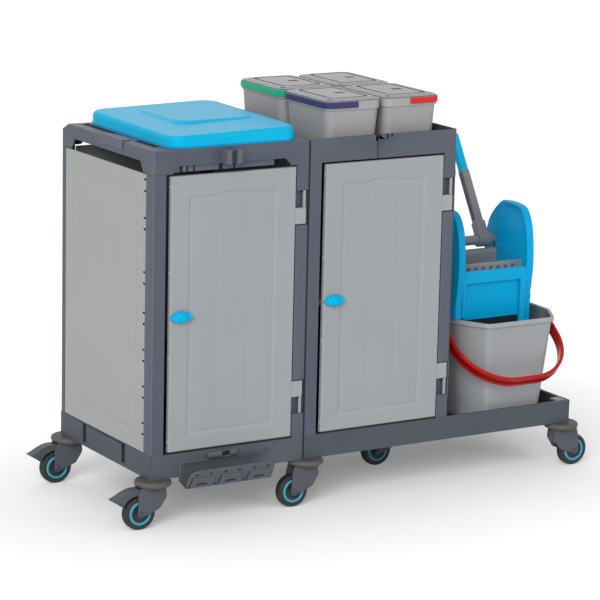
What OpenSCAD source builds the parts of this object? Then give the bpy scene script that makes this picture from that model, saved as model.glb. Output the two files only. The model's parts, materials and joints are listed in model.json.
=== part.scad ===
// Janitor cart: two cabinet modules on a base with seven casters, a waste lid,
// four small buckets in a top tray and a mop bucket with a wringer on a platform.
// Millimetres, +Z up. The front of the cart looks along -Y.

/* [Cart] */
// depth of the base, front to back
cart_depth = 580; // [560:5:600]
// width of one cabinet module
module_w = 516; // [506:2:526]
// length of the bucket platform beside the cabinets
platform_l = 464; // [456:2:480]
// height of the base underside above the floor
base_z = 145; // [145:1:150]
// height of the base moulding
base_h = 72; // [68:1:76]
// height of the corner posts
post_h = 822; // [800:2:840]
// height of the top frame and of the top tray
top_h = 71; // [68:1:75]
// wall of the base, posts and top frames
shell_t = 5; // [4:0.5:6]
// chamfer on the upright outer edges
edge_chamfer = 3; // [2:0.5:4]
// gap between the two modules
module_gap = 0.6; // [0.4:0.1:0.8]

/* [Posts and panels] */
// width of a post across the front
post_w = 42; // [40:1:44]
// depth of a front post
post_d = 46; // [44:1:48]
// depth of a rear post
rear_post_d = 20; // [18:1:22]
// sheet of the side and back panels
panel_t = 5; // [4:0.5:6]
// depth of the pressed field on panels and doors
field_h = 1.5; // [1:0.5:2]
// plain border beside the pressed field
field_border = 60; // [54:2:64]
// plain border below and above the pressed field
field_end = 48; // [42:2:54]
// height of the shelf above the base top
shelf_z = 380; // [340:10:420]

/* [Doors] */
// distance of a door edge from the outer face of its latch post
door_in = 57; // [55:1:59]
// width of a door
door_w = 413; // [408:1:416]
// gap below and above a door
door_gap = 6; // [5:0.5:8]
// depth of a door with its folded rim
door_t = 14; // [13:0.5:15]
// sheet of a door
door_sheet = 4; // [3.5:0.5:5]
// distance of the hinge axis from the right face of the module
hinge_in = 12; // [11:0.5:13]
// radius of a hinge pin
hinge_pin_r = 5; // [4.5:0.5:5.5]
// height of a hinge tab
tab_h = 48; // [44:1:52]
// length of a hinge pin outside its socket
pin_free = 52; // [48:1:54]
// depth of a hinge pin in its socket
pin_in = 13; // [11:1:15]
// upper hinge tab, underside above the base top
tab_hi = 645; // [635:1:655]
// lower hinge tab, underside above the base top
tab_lo = 124; // [120:1:130]
// latch axis from the outer face of its latch post
latch_in = 92; // [90:1:96]
// latch axis above the base top
latch_z = 406; // [400:1:412]
// length of the latch knob, tip to tip
latch_l = 76; // [72:1:80]
// height of the latch knob
latch_h = 36; // [34:1:38]
// radius of the latch shaft
latch_r = 8; // [7:0.5:9]

/* [Lid] */
// lid edge from the outer face of the left module
lid_in_x = 60; // [58:1:62]
// width of the lid
lid_w = 424; // [418:2:428]
// lid front edge from the front of the cart
lid_in_y = 6; // [5:1:8]
// frame left free behind the lid
lid_back = 44; // [40:1:48]
// height of the lid wall at its low front left corner
lid_h = 30; // [28:1:34]
// rise of the lid top from left to right
lid_slope_x = 8; // [6:1:10]
// rise of the lid top from front to back
lid_slope_y = 7; // [5:1:9]
// height of the lid plateau above the low corner
lid_rise = 14; // [12:1:16]
// wall of the lid and of the bag ring
lid_t = 4; // [3:0.5:5]
// radius of the lid corners
lid_r = 46; // [40:1:50]
// width of the bag ring flange
bag_flange = 20; // [18:1:24]
// depth of the bag ring skirt
bag_skirt = 40; // [34:1:46]
// radius of a lid hinge pin
lid_pin_r = 4; // [3.5:0.25:4.5]

/* [Small buckets] */
// width of a small bucket at its rim
pail_w = 191; // [187:1:193]
// tray depth left free before and behind the small buckets
pail_free = 59; // [56:1:66]
// height of a small bucket
pail_h = 138; // [132:1:144]
// wall of a small bucket
pail_t = 2.5; // [2:0.25:3]
// narrowing of a small bucket on each side down to its foot
pail_taper = 8; // [6:1:10]
// gap between the left and right buckets
pail_gap_x = 12; // [10:1:14]
// gap between the front and rear buckets
pail_gap_y = 17; // [16:1:19]
// height of a small bucket lid above the rim
pail_lid_h = 7; // [6:0.5:8]
// height of a small bucket bail
bail_h = 18; // [16:1:20]
// sheet of a small bucket bail
bail_t = 4; // [3.5:0.5:4.5]
// height of the tray floor below the tray rim
tray_depth = 40; // [36:1:44]

/* [Mop bucket] */
// width of the mop bucket at its rim
mop_w = 364; // [358:2:368]
// depth of the mop bucket at its rim
mop_d = 350; // [346:2:354]
// height of the mop bucket
mop_h = 325; // [315:1:330]
// wall of the mop bucket
mop_t = 3; // [2.5:0.5:4]
// narrowing of the mop bucket on each side down to its foot
mop_taper = 32; // [28:1:36]
// mop bucket centre from the right face of the cabinets
mop_x = 272; // [268:1:276]
// mop bucket centre from the front of the base
mop_y = 181; // [180:1:186]
// width of the rim flange of the mop bucket
mop_flange = 9; // [8:1:11]
// length of the mop bucket bail from its pivot
mop_bail_l = 272; // [266:1:278]
// width of the mop bucket bail band
mop_bail_w = 34; // [31:1:36]
// sheet of the mop bucket bail
mop_bail_t = 11; // [10:0.5:12]
// angle of the resting bail below the horizontal
mop_bail_rest = 38; // [36:1:40]

/* [Wringer] */
// width of the wringer
wring_w = 282; // [278:1:286]
// sheet of the wringer side wings
wing_t = 8; // [7:0.5:9]
// left face of the wringer from the right face of the cabinets
wring_x = 86; // [84:1:88]
// front of the wringer from the front of the base
wring_y = 89; // [86:1:92]
// depth of the wringer
wring_d = 261; // [258:1:263]
// height of the wringer above the bucket rim
wring_h = 336; // [328:1:344]
// width of the flange along the front edge of a wing
wing_flange = 25; // [23:1:27]
// height of the front panel
panel_h = 149; // [143:1:155]
// depth of the basket below the rim
basket_depth = 92; // [84:1:98]
// radius of the lever shaft
shaft_r = 13; // [12:0.5:14]
// height of the lever shaft above the rim
shaft_z = 200; // [196:1:204]
// lever shaft from the front of the wringer
shaft_y = 211; // [208:1:214]
// lever from the right face of the wringer
lever_in = 50; // [49:1:52]
// lean of the resting lever from upright
lever_lean = 31; // [29:1:33]
// length of the lever tube
lever_l = 342; // [332:2:350]
// where the grip begins along the lever
grip_from = 232; // [226:2:238]
// radius of the grip
grip_r = 16; // [15.5:0.25:16.5]

/* [Casters] */
// diameter of a caster wheel
wheel_d = 100; // [97:1:101]
// width of a caster wheel
wheel_w = 30; // [28:1:32]
// distance of the wheel axle behind the swivel axis
trail = 46; // [44:1:48]
// swivel axis from the base edges
caster_in = 18; // [18:0.5:20]
// radius of a bumper disc
bumper_r = 55; // [52:1:58]
// thickness of a bumper disc
bumper_h = 18; // [16:1:18]
// radius of a caster stem
stem_r = 6; // [5.5:0.25:6.5]
// radius of a wheel axle
axle_r = 5; // [4.5:0.25:5.5]
// sheet of the fork legs
fork_t = 4.5; // [4:0.5:5]
// reach of a brake pedal from the swivel axis
pedal_l = 136; // [132:1:140]

/* [Tool holders] */
// length of the tool cradle
cradle_l = 270; // [264:2:276]
// cradle end from the outer face of the left module
cradle_in = 104; // [100:2:108]
// reach of the cradle in front of the base
cradle_reach = 72; // [68:1:76]
// radius of the handle held by the front clip
handle_r = 12; // [11:0.5:13]

/* [Fits] */
// gap between pieces that turn or slide on each other
run_gap = 0.3; // [0.25:0.05:0.35]
// gap between a lifting piece and its seat
seat_gap = 0.2; // [0.15:0.05:0.25]
// gap around a piece that is held fast
tight_gap = 0.05; // [0.04:0.01:0.08]

/* [Hidden] */
$fn = 48;
eps = 0.5;
base_top = base_z + base_h;
post_top = base_top + post_h;
frame_top = post_top + top_h;
cab_r = 2 * module_w;
cart_l = cab_r + platform_l;
mod_w = module_w - module_gap;
wheel_r = wheel_d / 2;
bumper_z = base_z - bumper_h;
mid_x = (cart_l + trail + wheel_r - pedal_l) / 2;
mid_y = (cart_depth - caster_in + bumper_r - cradle_reach) / 2;

slate = [0.34, 0.37, 0.42];
grey = [0.65, 0.66, 0.66];
warm = [0.62, 0.6, 0.57];
blue = [0.1, 0.6, 0.85];
dark = [0.16, 0.17, 0.18];
steel = [0.7, 0.71, 0.72];
red = [0.75, 0.12, 0.1];

// casters: name, x, y, turn of the trail about the swivel axis
spots = [
    ["front_left", caster_in, caster_in, 180],
    ["rear_left", caster_in, cart_depth - caster_in, 180],
    ["front_middle", module_w + caster_in, caster_in, 180],
    ["rear_middle", module_w + caster_in, cart_depth - caster_in, 180],
    ["centre", (module_w + cart_l) / 2, cart_depth / 2, 180],
    ["front_right", cart_l - caster_in, caster_in, 0],
    ["rear_right", cart_l - caster_in, cart_depth - caster_in, 0]
];
// small buckets: name, column, row
pails = [["front_left", 0, 0], ["front_right", 1, 0], ["rear_left", 0, 1], ["rear_right", 1, 1]];
bail_colours = [[0.2, 0.21, 0.45], [0.85, 0.2, 0.18], [0.0, 0.7, 0.53], [0.9, 0.75, 0.1]];

module box(a, b) translate(a) cube(b - a);

module rrect(a, b, r) {
    translate([a[0] + r, a[1]]) square([b[0] - a[0] - 2 * r, b[1] - a[1]]);
    translate([a[0], a[1] + r]) square([b[0] - a[0], b[1] - a[1] - 2 * r]);
    for (x = [a[0] + r, b[0] - r], y = [a[1] + r, b[1] - r]) translate([x, y]) circle(r);
}

module crect(a, b, c) polygon([
    [a[0] + c, a[1]], [b[0] - c, a[1]], [b[0], a[1] + c], [b[0], b[1] - c],
    [b[0] - c, b[1]], [a[0] + c, b[1]], [a[0], b[1] - c], [a[0], a[1] + c]]);

// a profile drawn in (y, z), drawn out along x from x0 to x1
module along_x(x0, x1) translate([x0, 0, 0]) rotate([90, 0, 90]) linear_extrude(x1 - x0) children();

// a profile drawn in (x, z), drawn out along y from y0 to y1
module along_y(y0, y1) translate([0, y1, 0]) rotate([90, 0, 0]) linear_extrude(y1 - y0) children();

module rod_x(x0, x1, y, z, r) translate([x0, y, z]) rotate([0, 90, 0]) cylinder(h = x1 - x0, r = r);

module rod_y(x, y0, y1, z, r) translate([x, y0, z]) rotate([-90, 0, 0]) cylinder(h = y1 - y0, r = r);

module at_frame() translate([-mid_x, -mid_y, 0]) children();

// Base

deck_t = shell_t;
stem_in = 30;
block_w = 18;
platform_floor = base_z + 20;
platform_wall = 10;
slot_y = [171, 422];
slot_w = 15;
slot_low = 12;
slot_deep = shell_t * 0.7;

module stem_block(x, y, x0, x1, top)
    box([max(x - block_w, x0 + 1), max(y - block_w, 1), base_z],
        [min(x + block_w, x1 - 1), min(y + block_w, cart_depth - 1), top]);

module stem_bores(from, to) for (i = [from:to])
    translate([spots[i][1], spots[i][2], base_z - 1]) cylinder(h = stem_in + 2, r = stem_r + tight_gap);

module left_base() color(slate) difference() {
    union() {
        difference() {
            translate([0, 0, base_z]) linear_extrude(base_h) crect([0, 0], [mod_w, cart_depth], edge_chamfer);
            box([shell_t, shell_t, base_z - 1], [mod_w - shell_t, cart_depth - shell_t, base_top - deck_t]);
        }
        for (i = [0:1]) stem_block(spots[i][1], spots[i][2], 0, mod_w, base_top - eps);
    }
    stem_bores(0, 1);
    for (y = slot_y)
        box([-1, y - slot_w / 2, base_z + slot_low], [slot_deep, y + slot_w / 2, base_top - deck_t]);
}

module right_base() color(slate) difference() {
    union() {
        difference() {
            translate([0, 0, base_z]) linear_extrude(base_h)
                crect([module_w, 0], [cart_l, cart_depth], edge_chamfer);
            box([module_w + shell_t, shell_t, base_z - 1],
                [cab_r - shell_t, cart_depth - shell_t, base_top - deck_t]);
            box([cab_r + shell_t, shell_t, base_z - 1],
                [cart_l - shell_t, cart_depth - shell_t, platform_floor - deck_t]);
            box([cab_r + platform_wall, platform_wall, platform_floor],
                [cart_l - platform_wall, cart_depth - platform_wall, base_top + 1]);
        }
        for (i = [2:4]) stem_block(spots[i][1], spots[i][2], module_w, cart_l, base_top - eps);
        for (i = [5:6]) stem_block(spots[i][1], spots[i][2], module_w, cart_l, base_top - shell_t);
    }
    stem_bores(2, 6);
}

// Posts

pocket_d = door_t + 2;
pocket_play = 3;
boss_h = pin_in + 9;
boss_d = pocket_d + 4;
hinge_y = 7;
strike_l = 50;
strike_w = 12;
tab_z = [base_top + tab_lo, base_top + tab_hi];

module angle_post(w, d) translate([0, 0, base_top]) linear_extrude(post_h) polygon([
    [edge_chamfer, 0], [w, 0], [w, shell_t], [shell_t, shell_t], [shell_t, d], [0, d], [0, edge_chamfer]]);

module hinge_post(x1) difference() {
    union() {
        translate([x1, 0, 0]) mirror([1, 0, 0]) angle_post(post_w, post_d);
        box([x1 - post_w, 1, tab_z[1] - pocket_play - 5],
            [x1 - 1, boss_d, tab_z[1] + tab_h + pin_free + boss_h]);
        box([x1 - post_w, 1, tab_z[0] - pin_free - boss_h],
            [x1 - 1, boss_d, tab_z[0] + tab_h + pocket_play + 5]);
    }
    box([x1 - post_w - 1, -1, tab_z[1] - pocket_play], [x1 + 1, pocket_d, tab_z[1] + tab_h + pin_free]);
    box([x1 - post_w - 1, -1, tab_z[0] - pin_free], [x1 + 1, pocket_d, tab_z[0] + tab_h + pocket_play]);
    translate([x1 - hinge_in, hinge_y, tab_z[1] + tab_h + pin_free - 1])
        cylinder(h = pin_in + 4, r = hinge_pin_r + run_gap);
    translate([x1 - hinge_in, hinge_y, tab_z[0] - pin_free - pin_in - 3])
        cylinder(h = pin_in + 4, r = hinge_pin_r + run_gap);
}

module cabinet_posts() color(slate) for (x0 = [0, module_w]) {
    translate([x0, 0, 0]) union() {
        angle_post(post_w, post_d);
        box([post_w - strike_w, shell_t - 1, base_top + latch_z - strike_l / 2],
            [post_w, door_t - 2 + seat_gap, base_top + latch_z + strike_l / 2]);
    }
    hinge_post(x0 + mod_w);
    translate([x0, cart_depth, 0]) mirror([0, 1, 0]) angle_post(post_w, rear_post_d);
    translate([x0 + mod_w, cart_depth, 0]) mirror([0, 1, 0]) mirror([1, 0, 0]) angle_post(post_w, rear_post_d);
}

// Panels

panel_in = 1.5;
panel_play = 1;
panel_top = post_top - 3;
notch_z = [53, 162, 271, 380, 499, 657, 768];
notch_step = 33;
notch_l = 6;
notch_d = 12;
field_wave = 10;

// pressed field with a step in its top and bottom edge, in (u, z)
function field_outline(u0, u1, z0, z1) = let (step0 = u0 + (u1 - u0) * 0.28, step1 = u0 + (u1 - u0) * 0.46) [
    [u0, z0 + field_wave], [step0, z0 + field_wave], [step1, z0], [u1, z0],
    [u1, z1], [step1, z1], [step0, z1 - field_wave], [u0, z1 - field_wave]];

// one side panel with its outer face at x = 0 looking along -x
module side_panel() difference() {
    box([0, post_d + panel_play, base_top], [panel_t, cart_depth - rear_post_d - panel_play, panel_top]);
    along_x(-1, field_h) polygon(field_outline(post_d + field_border, cart_depth - rear_post_d - field_border,
        base_top + field_end, panel_top - field_end));
    for (z = notch_z, k = [0, notch_step])
        box([-1, post_d, base_top + z + k],
            [panel_t + 1, post_d + panel_play + notch_d, base_top + z + k + notch_l]);
}

module side_panels() color(grey) for (x0 = [0, module_w]) {
    translate([x0 + panel_in, 0, 0]) side_panel();
    translate([x0 + mod_w - panel_in, 0, 0]) mirror([1, 0, 0]) side_panel();
}

module back_panels() color(grey) for (x0 = [0, module_w]) difference() {
    box([x0 + post_w + panel_play, cart_depth - panel_in - panel_t, base_top],
        [x0 + mod_w - post_w - panel_play, cart_depth - panel_in, panel_top]);
    along_y(cart_depth - panel_in - field_h, cart_depth) polygon(field_outline(x0 + post_w + field_border,
        x0 + mod_w - post_w - field_border, base_top + field_end, panel_top - field_end));
}

shelf_h = 18;
shelf_y0 = post_d + 6;
shelf_y1 = cart_depth - rear_post_d - 2;

module cabinet_shelf() color(grey) difference() {
    box([module_w + panel_in + panel_t + seat_gap, shelf_y0, base_top + shelf_z],
        [module_w + mod_w - panel_in - panel_t - seat_gap, shelf_y1, base_top + shelf_z + shelf_h]);
    box([module_w + panel_in + 2 * panel_t, shelf_y0 + panel_t, base_top + shelf_z - 1],
        [module_w + mod_w - panel_in - 2 * panel_t, shelf_y1 - panel_t,
         base_top + shelf_z + shelf_h - panel_t]);
}

// Top frame and top tray

lid_d = cart_depth - lid_in_y - lid_back;
frame_in = lid_in_x + bag_flange - 6;
ring_front = 50;
frame_in_y = lid_in_y + ring_front;
frame_back_y = lid_in_y + lid_d - 34;
lip_t = 4;
lip_drop = 34;
arch_in = 60;
arch_slant = 22;
arch_front = 22;
arch_side = 31;
rear_cut_y = 40;
rear_cut_z = 20;
lid_axis_y = lid_in_y + lid_d + 10;
lid_axis_z = frame_top + 14;
lug_r = 7;
lug_w = 20;
lug_x = [120, 360];
rail_x = [62, 398];
rail_lift = 4;
rail_t = 6;

module rear_wedge(drop) along_x(-1, module_w) polygon([
    [cart_depth - rear_cut_y, frame_top - drop], [cart_depth + 1, frame_top - drop - rear_cut_z],
    [cart_depth + 1, frame_top + 1], [cart_depth - rear_cut_y, frame_top + 1]]);

// opening under a rail of the given length
module arch(l, h) polygon([[arch_in, post_top - 1], [l - arch_in, post_top - 1],
    [l - arch_in - arch_slant, post_top + h], [arch_in + arch_slant, post_top + h]]);

module left_top_frame() color(slate) {
    difference() {
        translate([0, 0, post_top]) linear_extrude(top_h) crect([0, 0], [mod_w, cart_depth], edge_chamfer);
        difference() {
            box([shell_t, shell_t, post_top - 1], [mod_w - shell_t, cart_depth - shell_t, frame_top - shell_t]);
            box([frame_in - lip_t, frame_in_y - lip_t, frame_top - lip_drop],
                [mod_w - frame_in + lip_t, frame_back_y + lip_t, frame_top]);
            rear_wedge(shell_t);
        }
        box([frame_in, frame_in_y, post_top - 1], [mod_w - frame_in, frame_back_y, frame_top + 1]);
        rear_wedge(0);
        along_y(-1, cart_depth + 1) arch(mod_w, arch_front);
        along_x(-1, module_w) arch(cart_depth, arch_side);
    }
    box([rail_x[0], shell_t - 1, post_top + rail_lift], [rail_x[1], shell_t + rail_t, frame_top - shell_t + 1]);
    for (x = lug_x) difference() {
        along_x(lid_in_x + x, lid_in_x + x + lug_w) union() {
            translate([lid_axis_y, lid_axis_z]) circle(lug_r);
            translate([lid_axis_y - lug_r, frame_top - rear_cut_z / 2])
                square([2 * lug_r, lid_axis_z - frame_top + rear_cut_z / 2]);
        }
        rod_x(lid_in_x + x - 1, lid_in_x + x + lug_w + 1, lid_axis_y, lid_axis_z, lid_pin_r + run_gap);
    }
}

tray_floor = frame_top - tray_depth;
seam_w = 2;
seam_x = 235;

module right_top_tray() color(slate) difference() {
    translate([module_w, 0, post_top]) linear_extrude(top_h) crect([0, 0], [mod_w, cart_depth], edge_chamfer);
    box([module_w + shell_t, shell_t, tray_floor],
        [module_w + mod_w - shell_t, cart_depth - shell_t, frame_top + 1]);
    box([module_w + shell_t, shell_t, post_top - 1],
        [module_w + mod_w - shell_t, cart_depth - shell_t, tray_floor - shell_t]);
    box([module_w + seam_x - seam_w / 2, -1, post_top - 1],
        [module_w + seam_x + seam_w / 2, 1, frame_top + 1]);
}

// Bag ring and lid

module bag_ring() color(blue) difference() {
    union() {
        translate([0, 0, frame_top]) linear_extrude(lid_t)
            rrect([lid_in_x - 2, lid_in_y - 2], [lid_in_x + lid_w + 2, lid_in_y + lid_d - 4], lid_r);
        box([frame_in + seat_gap, frame_in_y + seat_gap, frame_top - bag_skirt],
            [mod_w - frame_in - seat_gap, frame_back_y - seat_gap, frame_top + 1]);
    }
    box([frame_in + lid_t, frame_in_y + lid_t, frame_top - bag_skirt - 1],
        [mod_w - frame_in - lid_t, frame_back_y - lid_t, frame_top + lid_t + 1]);
}

lid_z = frame_top + lid_t + seat_gap;
ear_w = 16;
plateau = [[106, 158], [378, 462]];
plateau_r = 24;

// half space under the sloping lid top, lowered by drop
module under_slope(drop) translate([lid_in_x, lid_in_y, lid_z + lid_h - drop])
    rotate([atan(lid_slope_y / lid_d), -atan(lid_slope_x / lid_w), 0])
        translate([-lid_d, -lid_d, -lid_d]) cube([3 * lid_d, 3 * lid_d, lid_d]);

module lid_block(inset, drop, low) intersection() {
    translate([0, 0, low]) linear_extrude(2 * lid_h + lid_rise) rrect([lid_in_x + inset, lid_in_y + inset],
        [lid_in_x + lid_w - inset, lid_in_y + lid_d - inset], lid_r - inset);
    under_slope(drop);
}

module lid() color(blue) {
    difference() {
        union() {
            lid_block(0, 0, lid_z);
            translate([lid_in_x, lid_in_y, lid_z + lid_h / 2]) linear_extrude(lid_h / 2 + lid_rise)
                rrect(plateau[0], plateau[1], plateau_r);
        }
        lid_block(lid_t, lid_t, lid_z - 1);
    }
    for (x = lug_x) union() {
        along_x(lid_in_x + x + lug_w + run_gap, lid_in_x + x + lug_w + ear_w) union() {
            translate([lid_axis_y, lid_axis_z]) circle(lug_r - 1);
            translate([lid_in_y + lid_d - 2, lid_axis_z - lug_r + 2])
                square([lid_axis_y - lid_in_y - lid_d + 2, 2 * lug_r - 4]);
        }
        rod_x(lid_in_x + x + 2, lid_in_x + x + lug_w + 2, lid_axis_y, lid_axis_z, lid_pin_r);
    }
}

// Doors and latches

door_y = -2;
door_lo = base_top + door_gap;
door_hi = post_top - door_gap;
knuckle_r = 6.5;

// door of the module whose outer face is at x0
module door(x0) color(grey) difference() {
    union() {
        difference() {
            box([x0 + door_in, door_y, door_lo], [x0 + door_in + door_w, door_y + door_t, door_hi]);
            box([x0 + door_in + door_sheet, door_y + door_sheet, door_lo + door_sheet],
                [x0 + door_in + door_w - door_sheet, door_y + door_t + 1, door_hi - door_sheet]);
        }
        for (z = tab_z) {
            box([x0 + door_in + door_w - 1, hinge_y - knuckle_r, z],
                [x0 + mod_w - hinge_in, hinge_y + knuckle_r - 2, z + tab_h]);
            translate([x0 + mod_w - hinge_in, hinge_y, z]) cylinder(h = tab_h, r = knuckle_r);
        }
        translate([x0 + mod_w - hinge_in, hinge_y, tab_z[1] + tab_h - 1])
            cylinder(h = pin_free + pin_in + 1, r = hinge_pin_r);
        translate([x0 + mod_w - hinge_in, hinge_y, tab_z[0] - pin_free - pin_in])
            cylinder(h = pin_free + pin_in + 1, r = hinge_pin_r);
    }
    along_y(door_y - 1, door_y + field_h) polygon(field_outline(x0 + door_in + field_border,
        x0 + door_in + door_w - field_border, door_lo + field_end, door_hi - field_end));
    rod_y(x0 + latch_in, door_y - 5, door_y + door_t, base_top + latch_z, latch_r + run_gap);
}

module left_door() door(0);

module right_door() door(module_w);

knob_t = 12;
boss_r = 17;
boss_t = 18;
cam_l = 58;
cam_w = 16;
cam_t = 4;
knob_play = 0.5;
knob_y = door_y - knob_play;
knob_arc = (latch_l * latch_l / latch_h + latch_h) / 4;

module latch(x0) color(blue) translate([x0 + latch_in, 0, base_top + latch_z]) {
    along_y(knob_y - knob_t, knob_y) intersection() {
        translate([0, knob_arc - latch_h / 2]) circle(knob_arc, $fn = 96);
        translate([0, latch_h / 2 - knob_arc]) circle(knob_arc, $fn = 96);
    }
    rod_y(0, knob_y - boss_t, knob_y, 0, boss_r);
    rod_y(0, knob_y - 1, door_y + door_t + knob_play + cam_t, 0, latch_r);
    box([-cam_w / 2, door_y + door_t + knob_play, -cam_w / 2],
        [cam_w / 2, door_y + door_t + knob_play + cam_t, cam_l]);
}

module left_latch() latch(0);

module right_latch() latch(module_w);

// Small buckets

pail_x0 = module_w + (mod_w - 2 * pail_w - pail_gap_x) / 2 + 18;
pail_d = (cart_depth - pail_gap_y - pail_free) / 2;
pail_y0 = (cart_depth - 2 * pail_d - pail_gap_y) / 2 + 8;
pail_z = tray_floor + seat_gap;
rim_h = 26;
rim_t = 2;
pail_r = 26;
pail_pin_r = 3.5;
bail_z = pail_z + pail_h - bail_h / 2 - 1;
bail_play = 0.8;
lid_step = 3;
step_in = 14;
plug_h = 4;
plug_in = rim_t + pail_t + 2;
groove_in = 30;

function pail_x(i) = pail_x0 + pails[i][1] * (pail_w + pail_gap_x);
function pail_y(i) = pail_y0 + pails[i][2] * (pail_d + pail_gap_y);

module pail_solid(inset, foot, top) hull() {
    translate([0, 0, foot]) linear_extrude(0.1)
        rrect([inset + pail_taper, inset + pail_taper],
            [pail_w - inset - pail_taper, pail_d - inset - pail_taper], pail_r - inset, $fn = 32);
    translate([0, 0, top - 0.1]) linear_extrude(0.1)
        rrect([inset, inset], [pail_w - inset, pail_d - inset], pail_r - inset, $fn = 32);
}

module pail(i) color(warm) translate([pail_x(i), pail_y(i), pail_z]) difference() {
    union() {
        pail_solid(rim_t, 0, pail_h);
        translate([0, 0, pail_h - rim_h]) linear_extrude(rim_h) rrect([0, 0], [pail_w, pail_d], pail_r);
    }
    pail_solid(rim_t + pail_t, pail_t, pail_h + 1);
    rod_y(pail_w / 2, -1, rim_t + 2 * pail_t, bail_z - pail_z, pail_pin_r + run_gap);
    rod_y(pail_w / 2, pail_d - rim_t - 2 * pail_t, pail_d + 1, bail_z - pail_z, pail_pin_r + run_gap);
}

module pail_lid(i) color(warm) translate([pail_x(i), pail_y(i), pail_z + pail_h + seat_gap]) difference() {
    union() {
        linear_extrude(pail_lid_h - lid_step) rrect([eps, eps], [pail_w - eps, pail_d - eps], pail_r - eps);
        linear_extrude(pail_lid_h) rrect([step_in, step_in], [pail_w - step_in, pail_d - step_in], pail_r - 8);
        translate([0, 0, -plug_h]) linear_extrude(plug_h + 1)
            rrect([plug_in, plug_in], [pail_w - plug_in, pail_d - plug_in], pail_r - plug_in);
    }
    translate([0, 0, pail_lid_h - 2]) linear_extrude(3) difference() {
        rrect([groove_in, groove_in], [pail_w - groove_in, pail_d - groove_in], 12);
        rrect([groove_in + 6, groove_in + 6], [pail_w - groove_in - 6, pail_d - groove_in - 6], 9);
    }
    translate([pail_w / 2 - 16, pail_d / 2 - 9, pail_lid_h - 5]) cube([32, 18, 6]);
}

// the bail lies around the outer half of the rim
module pail_bail(i) color(bail_colours[i]) translate([pail_x(i), pail_y(i), bail_z])
    translate([pail_w / 2, pail_d / 2, 0]) mirror([pails[i][1], 0, 0])
    translate([-pail_w / 2, -pail_d / 2, 0]) {
    translate([0, 0, -bail_h / 2]) linear_extrude(bail_h) difference() {
        rrect([-bail_play - bail_t, -bail_play - bail_t],
            [pail_w, pail_d + bail_play + bail_t], pail_r + bail_play + bail_t);
        rrect([-bail_play, -bail_play], [pail_w, pail_d + bail_play], pail_r + bail_play);
        translate([pail_w / 2 + bail_h / 2, -pail_w]) square([pail_w, pail_d + 2 * pail_w]);
    }
    rod_y(pail_w / 2, -bail_play - 1, rim_t + 1, 0, pail_pin_r);
    rod_y(pail_w / 2, pail_d - rim_t - 1, pail_d + bail_play + 1, 0, pail_pin_r);
}

// Mop bucket

mop_cx = cab_r + mop_x;
mop_z = platform_floor + seat_gap;
rim_z = mop_z + mop_h;
mop_cut = [58, 105];
mop_rim_h = 10;
mop_pivot_z = rim_z - 18;
mop_lug_r = 14;
mop_pin_r = 4;
mop_bail_in = mop_w / 2 + 9;
mop_bail_r = 156;

module octagon(hx, hy) polygon([
    [-hx, -hy + mop_cut[1]], [-hx + mop_cut[0], -hy], [hx - mop_cut[0], -hy], [hx, -hy + mop_cut[1]],
    [hx, hy - mop_cut[1]], [hx - mop_cut[0], hy], [-hx + mop_cut[0], hy], [-hx, hy - mop_cut[1]]]);

module mop_solid(inset, foot, top) hull() {
    translate([0, 0, foot]) linear_extrude(0.1)
        octagon(mop_w / 2 - inset - mop_taper, mop_d / 2 - inset - mop_taper);
    translate([0, 0, top - 0.1]) linear_extrude(0.1) octagon(mop_w / 2 - inset, mop_d / 2 - inset);
}

module mop_bucket() color(grey) translate([mop_cx, mop_y, 0]) difference() {
    union() {
        mop_solid(mop_flange - mop_t, mop_z, rim_z);
        translate([0, 0, rim_z - mop_rim_h]) linear_extrude(mop_rim_h) octagon(mop_w / 2, mop_d / 2);
        rod_x(-mop_w / 2 - 4, mop_w / 2 + 4, 0, mop_pivot_z, mop_lug_r);
    }
    mop_solid(mop_flange, mop_z + mop_t, rim_z + 1);
    for (x = [-mop_w / 2 - 5, mop_w / 2 - 9]) rod_x(x, x + 14, 0, mop_pivot_z, mop_pin_r + run_gap);
}

module mop_bail() color(red) translate([mop_cx, mop_y, mop_pivot_z]) rotate([mop_bail_rest, 0, 0]) {
    translate([0, 0, -mop_bail_w / 2]) linear_extrude(mop_bail_w) difference() {
        rrect([-mop_bail_in - mop_bail_t, -mop_bail_l],
            [mop_bail_in + mop_bail_t, mop_bail_l], mop_bail_r + mop_bail_t);
        rrect([-mop_bail_in, -mop_bail_l + mop_bail_t], [mop_bail_in, mop_bail_l], mop_bail_r);
        translate([-mop_w, mop_bail_w / 2]) square([2 * mop_w, 2 * mop_bail_l]);
    }
    rod_x(-mop_bail_in - 1, -mop_w / 2 + 6, 0, 0, mop_pin_r);
    rod_x(mop_w / 2 - 6, mop_bail_in + 1, 0, 0, mop_pin_r);
}

// Wringer

wr_x0 = cab_r + wring_x;
wr_x1 = wr_x0 + wring_w;
wr_y1 = wring_y + wring_d;
wr_z = rim_z + seat_gap;
wr_plate = 6;
wr_wall = 4;
front_in = 12;
front_t = 8;
// the front panel hangs into the bucket, clear of its slanted corner
skirt_h = 36;
skirt_in = 9;
shaft_py = wring_y + shaft_y;
shaft_pz = wr_z + shaft_z;
basket_in = [48, 23, 50, 78];
drain_r = 5;
jaw_back = 10;
jaw_t = 30;
jaw_h = 150;
comb_t = 12;
comb_in = 52;
comb_up = 12;
comb_deep = 46;
comb_step = 28;
comb_slot = 12;
panel_lip = 39;

// points that the curved edge of a side wing passes, as shares of its depth and height
wing_shares = [
    [0.077, 0], [0.023, 0.28], [0, 0.5], [0.031, 0.76], [0.1, 0.91], [0.222, 0.99],
    [0.536, 1], [0.72, 0.95], [0.931, 0.76], [1, 0.5]];
wing_points = [for (p = wing_shares) [wring_y + wring_d * p[0], wr_z + wring_h * p[1]]];
wing_cuts = 4;

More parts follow.
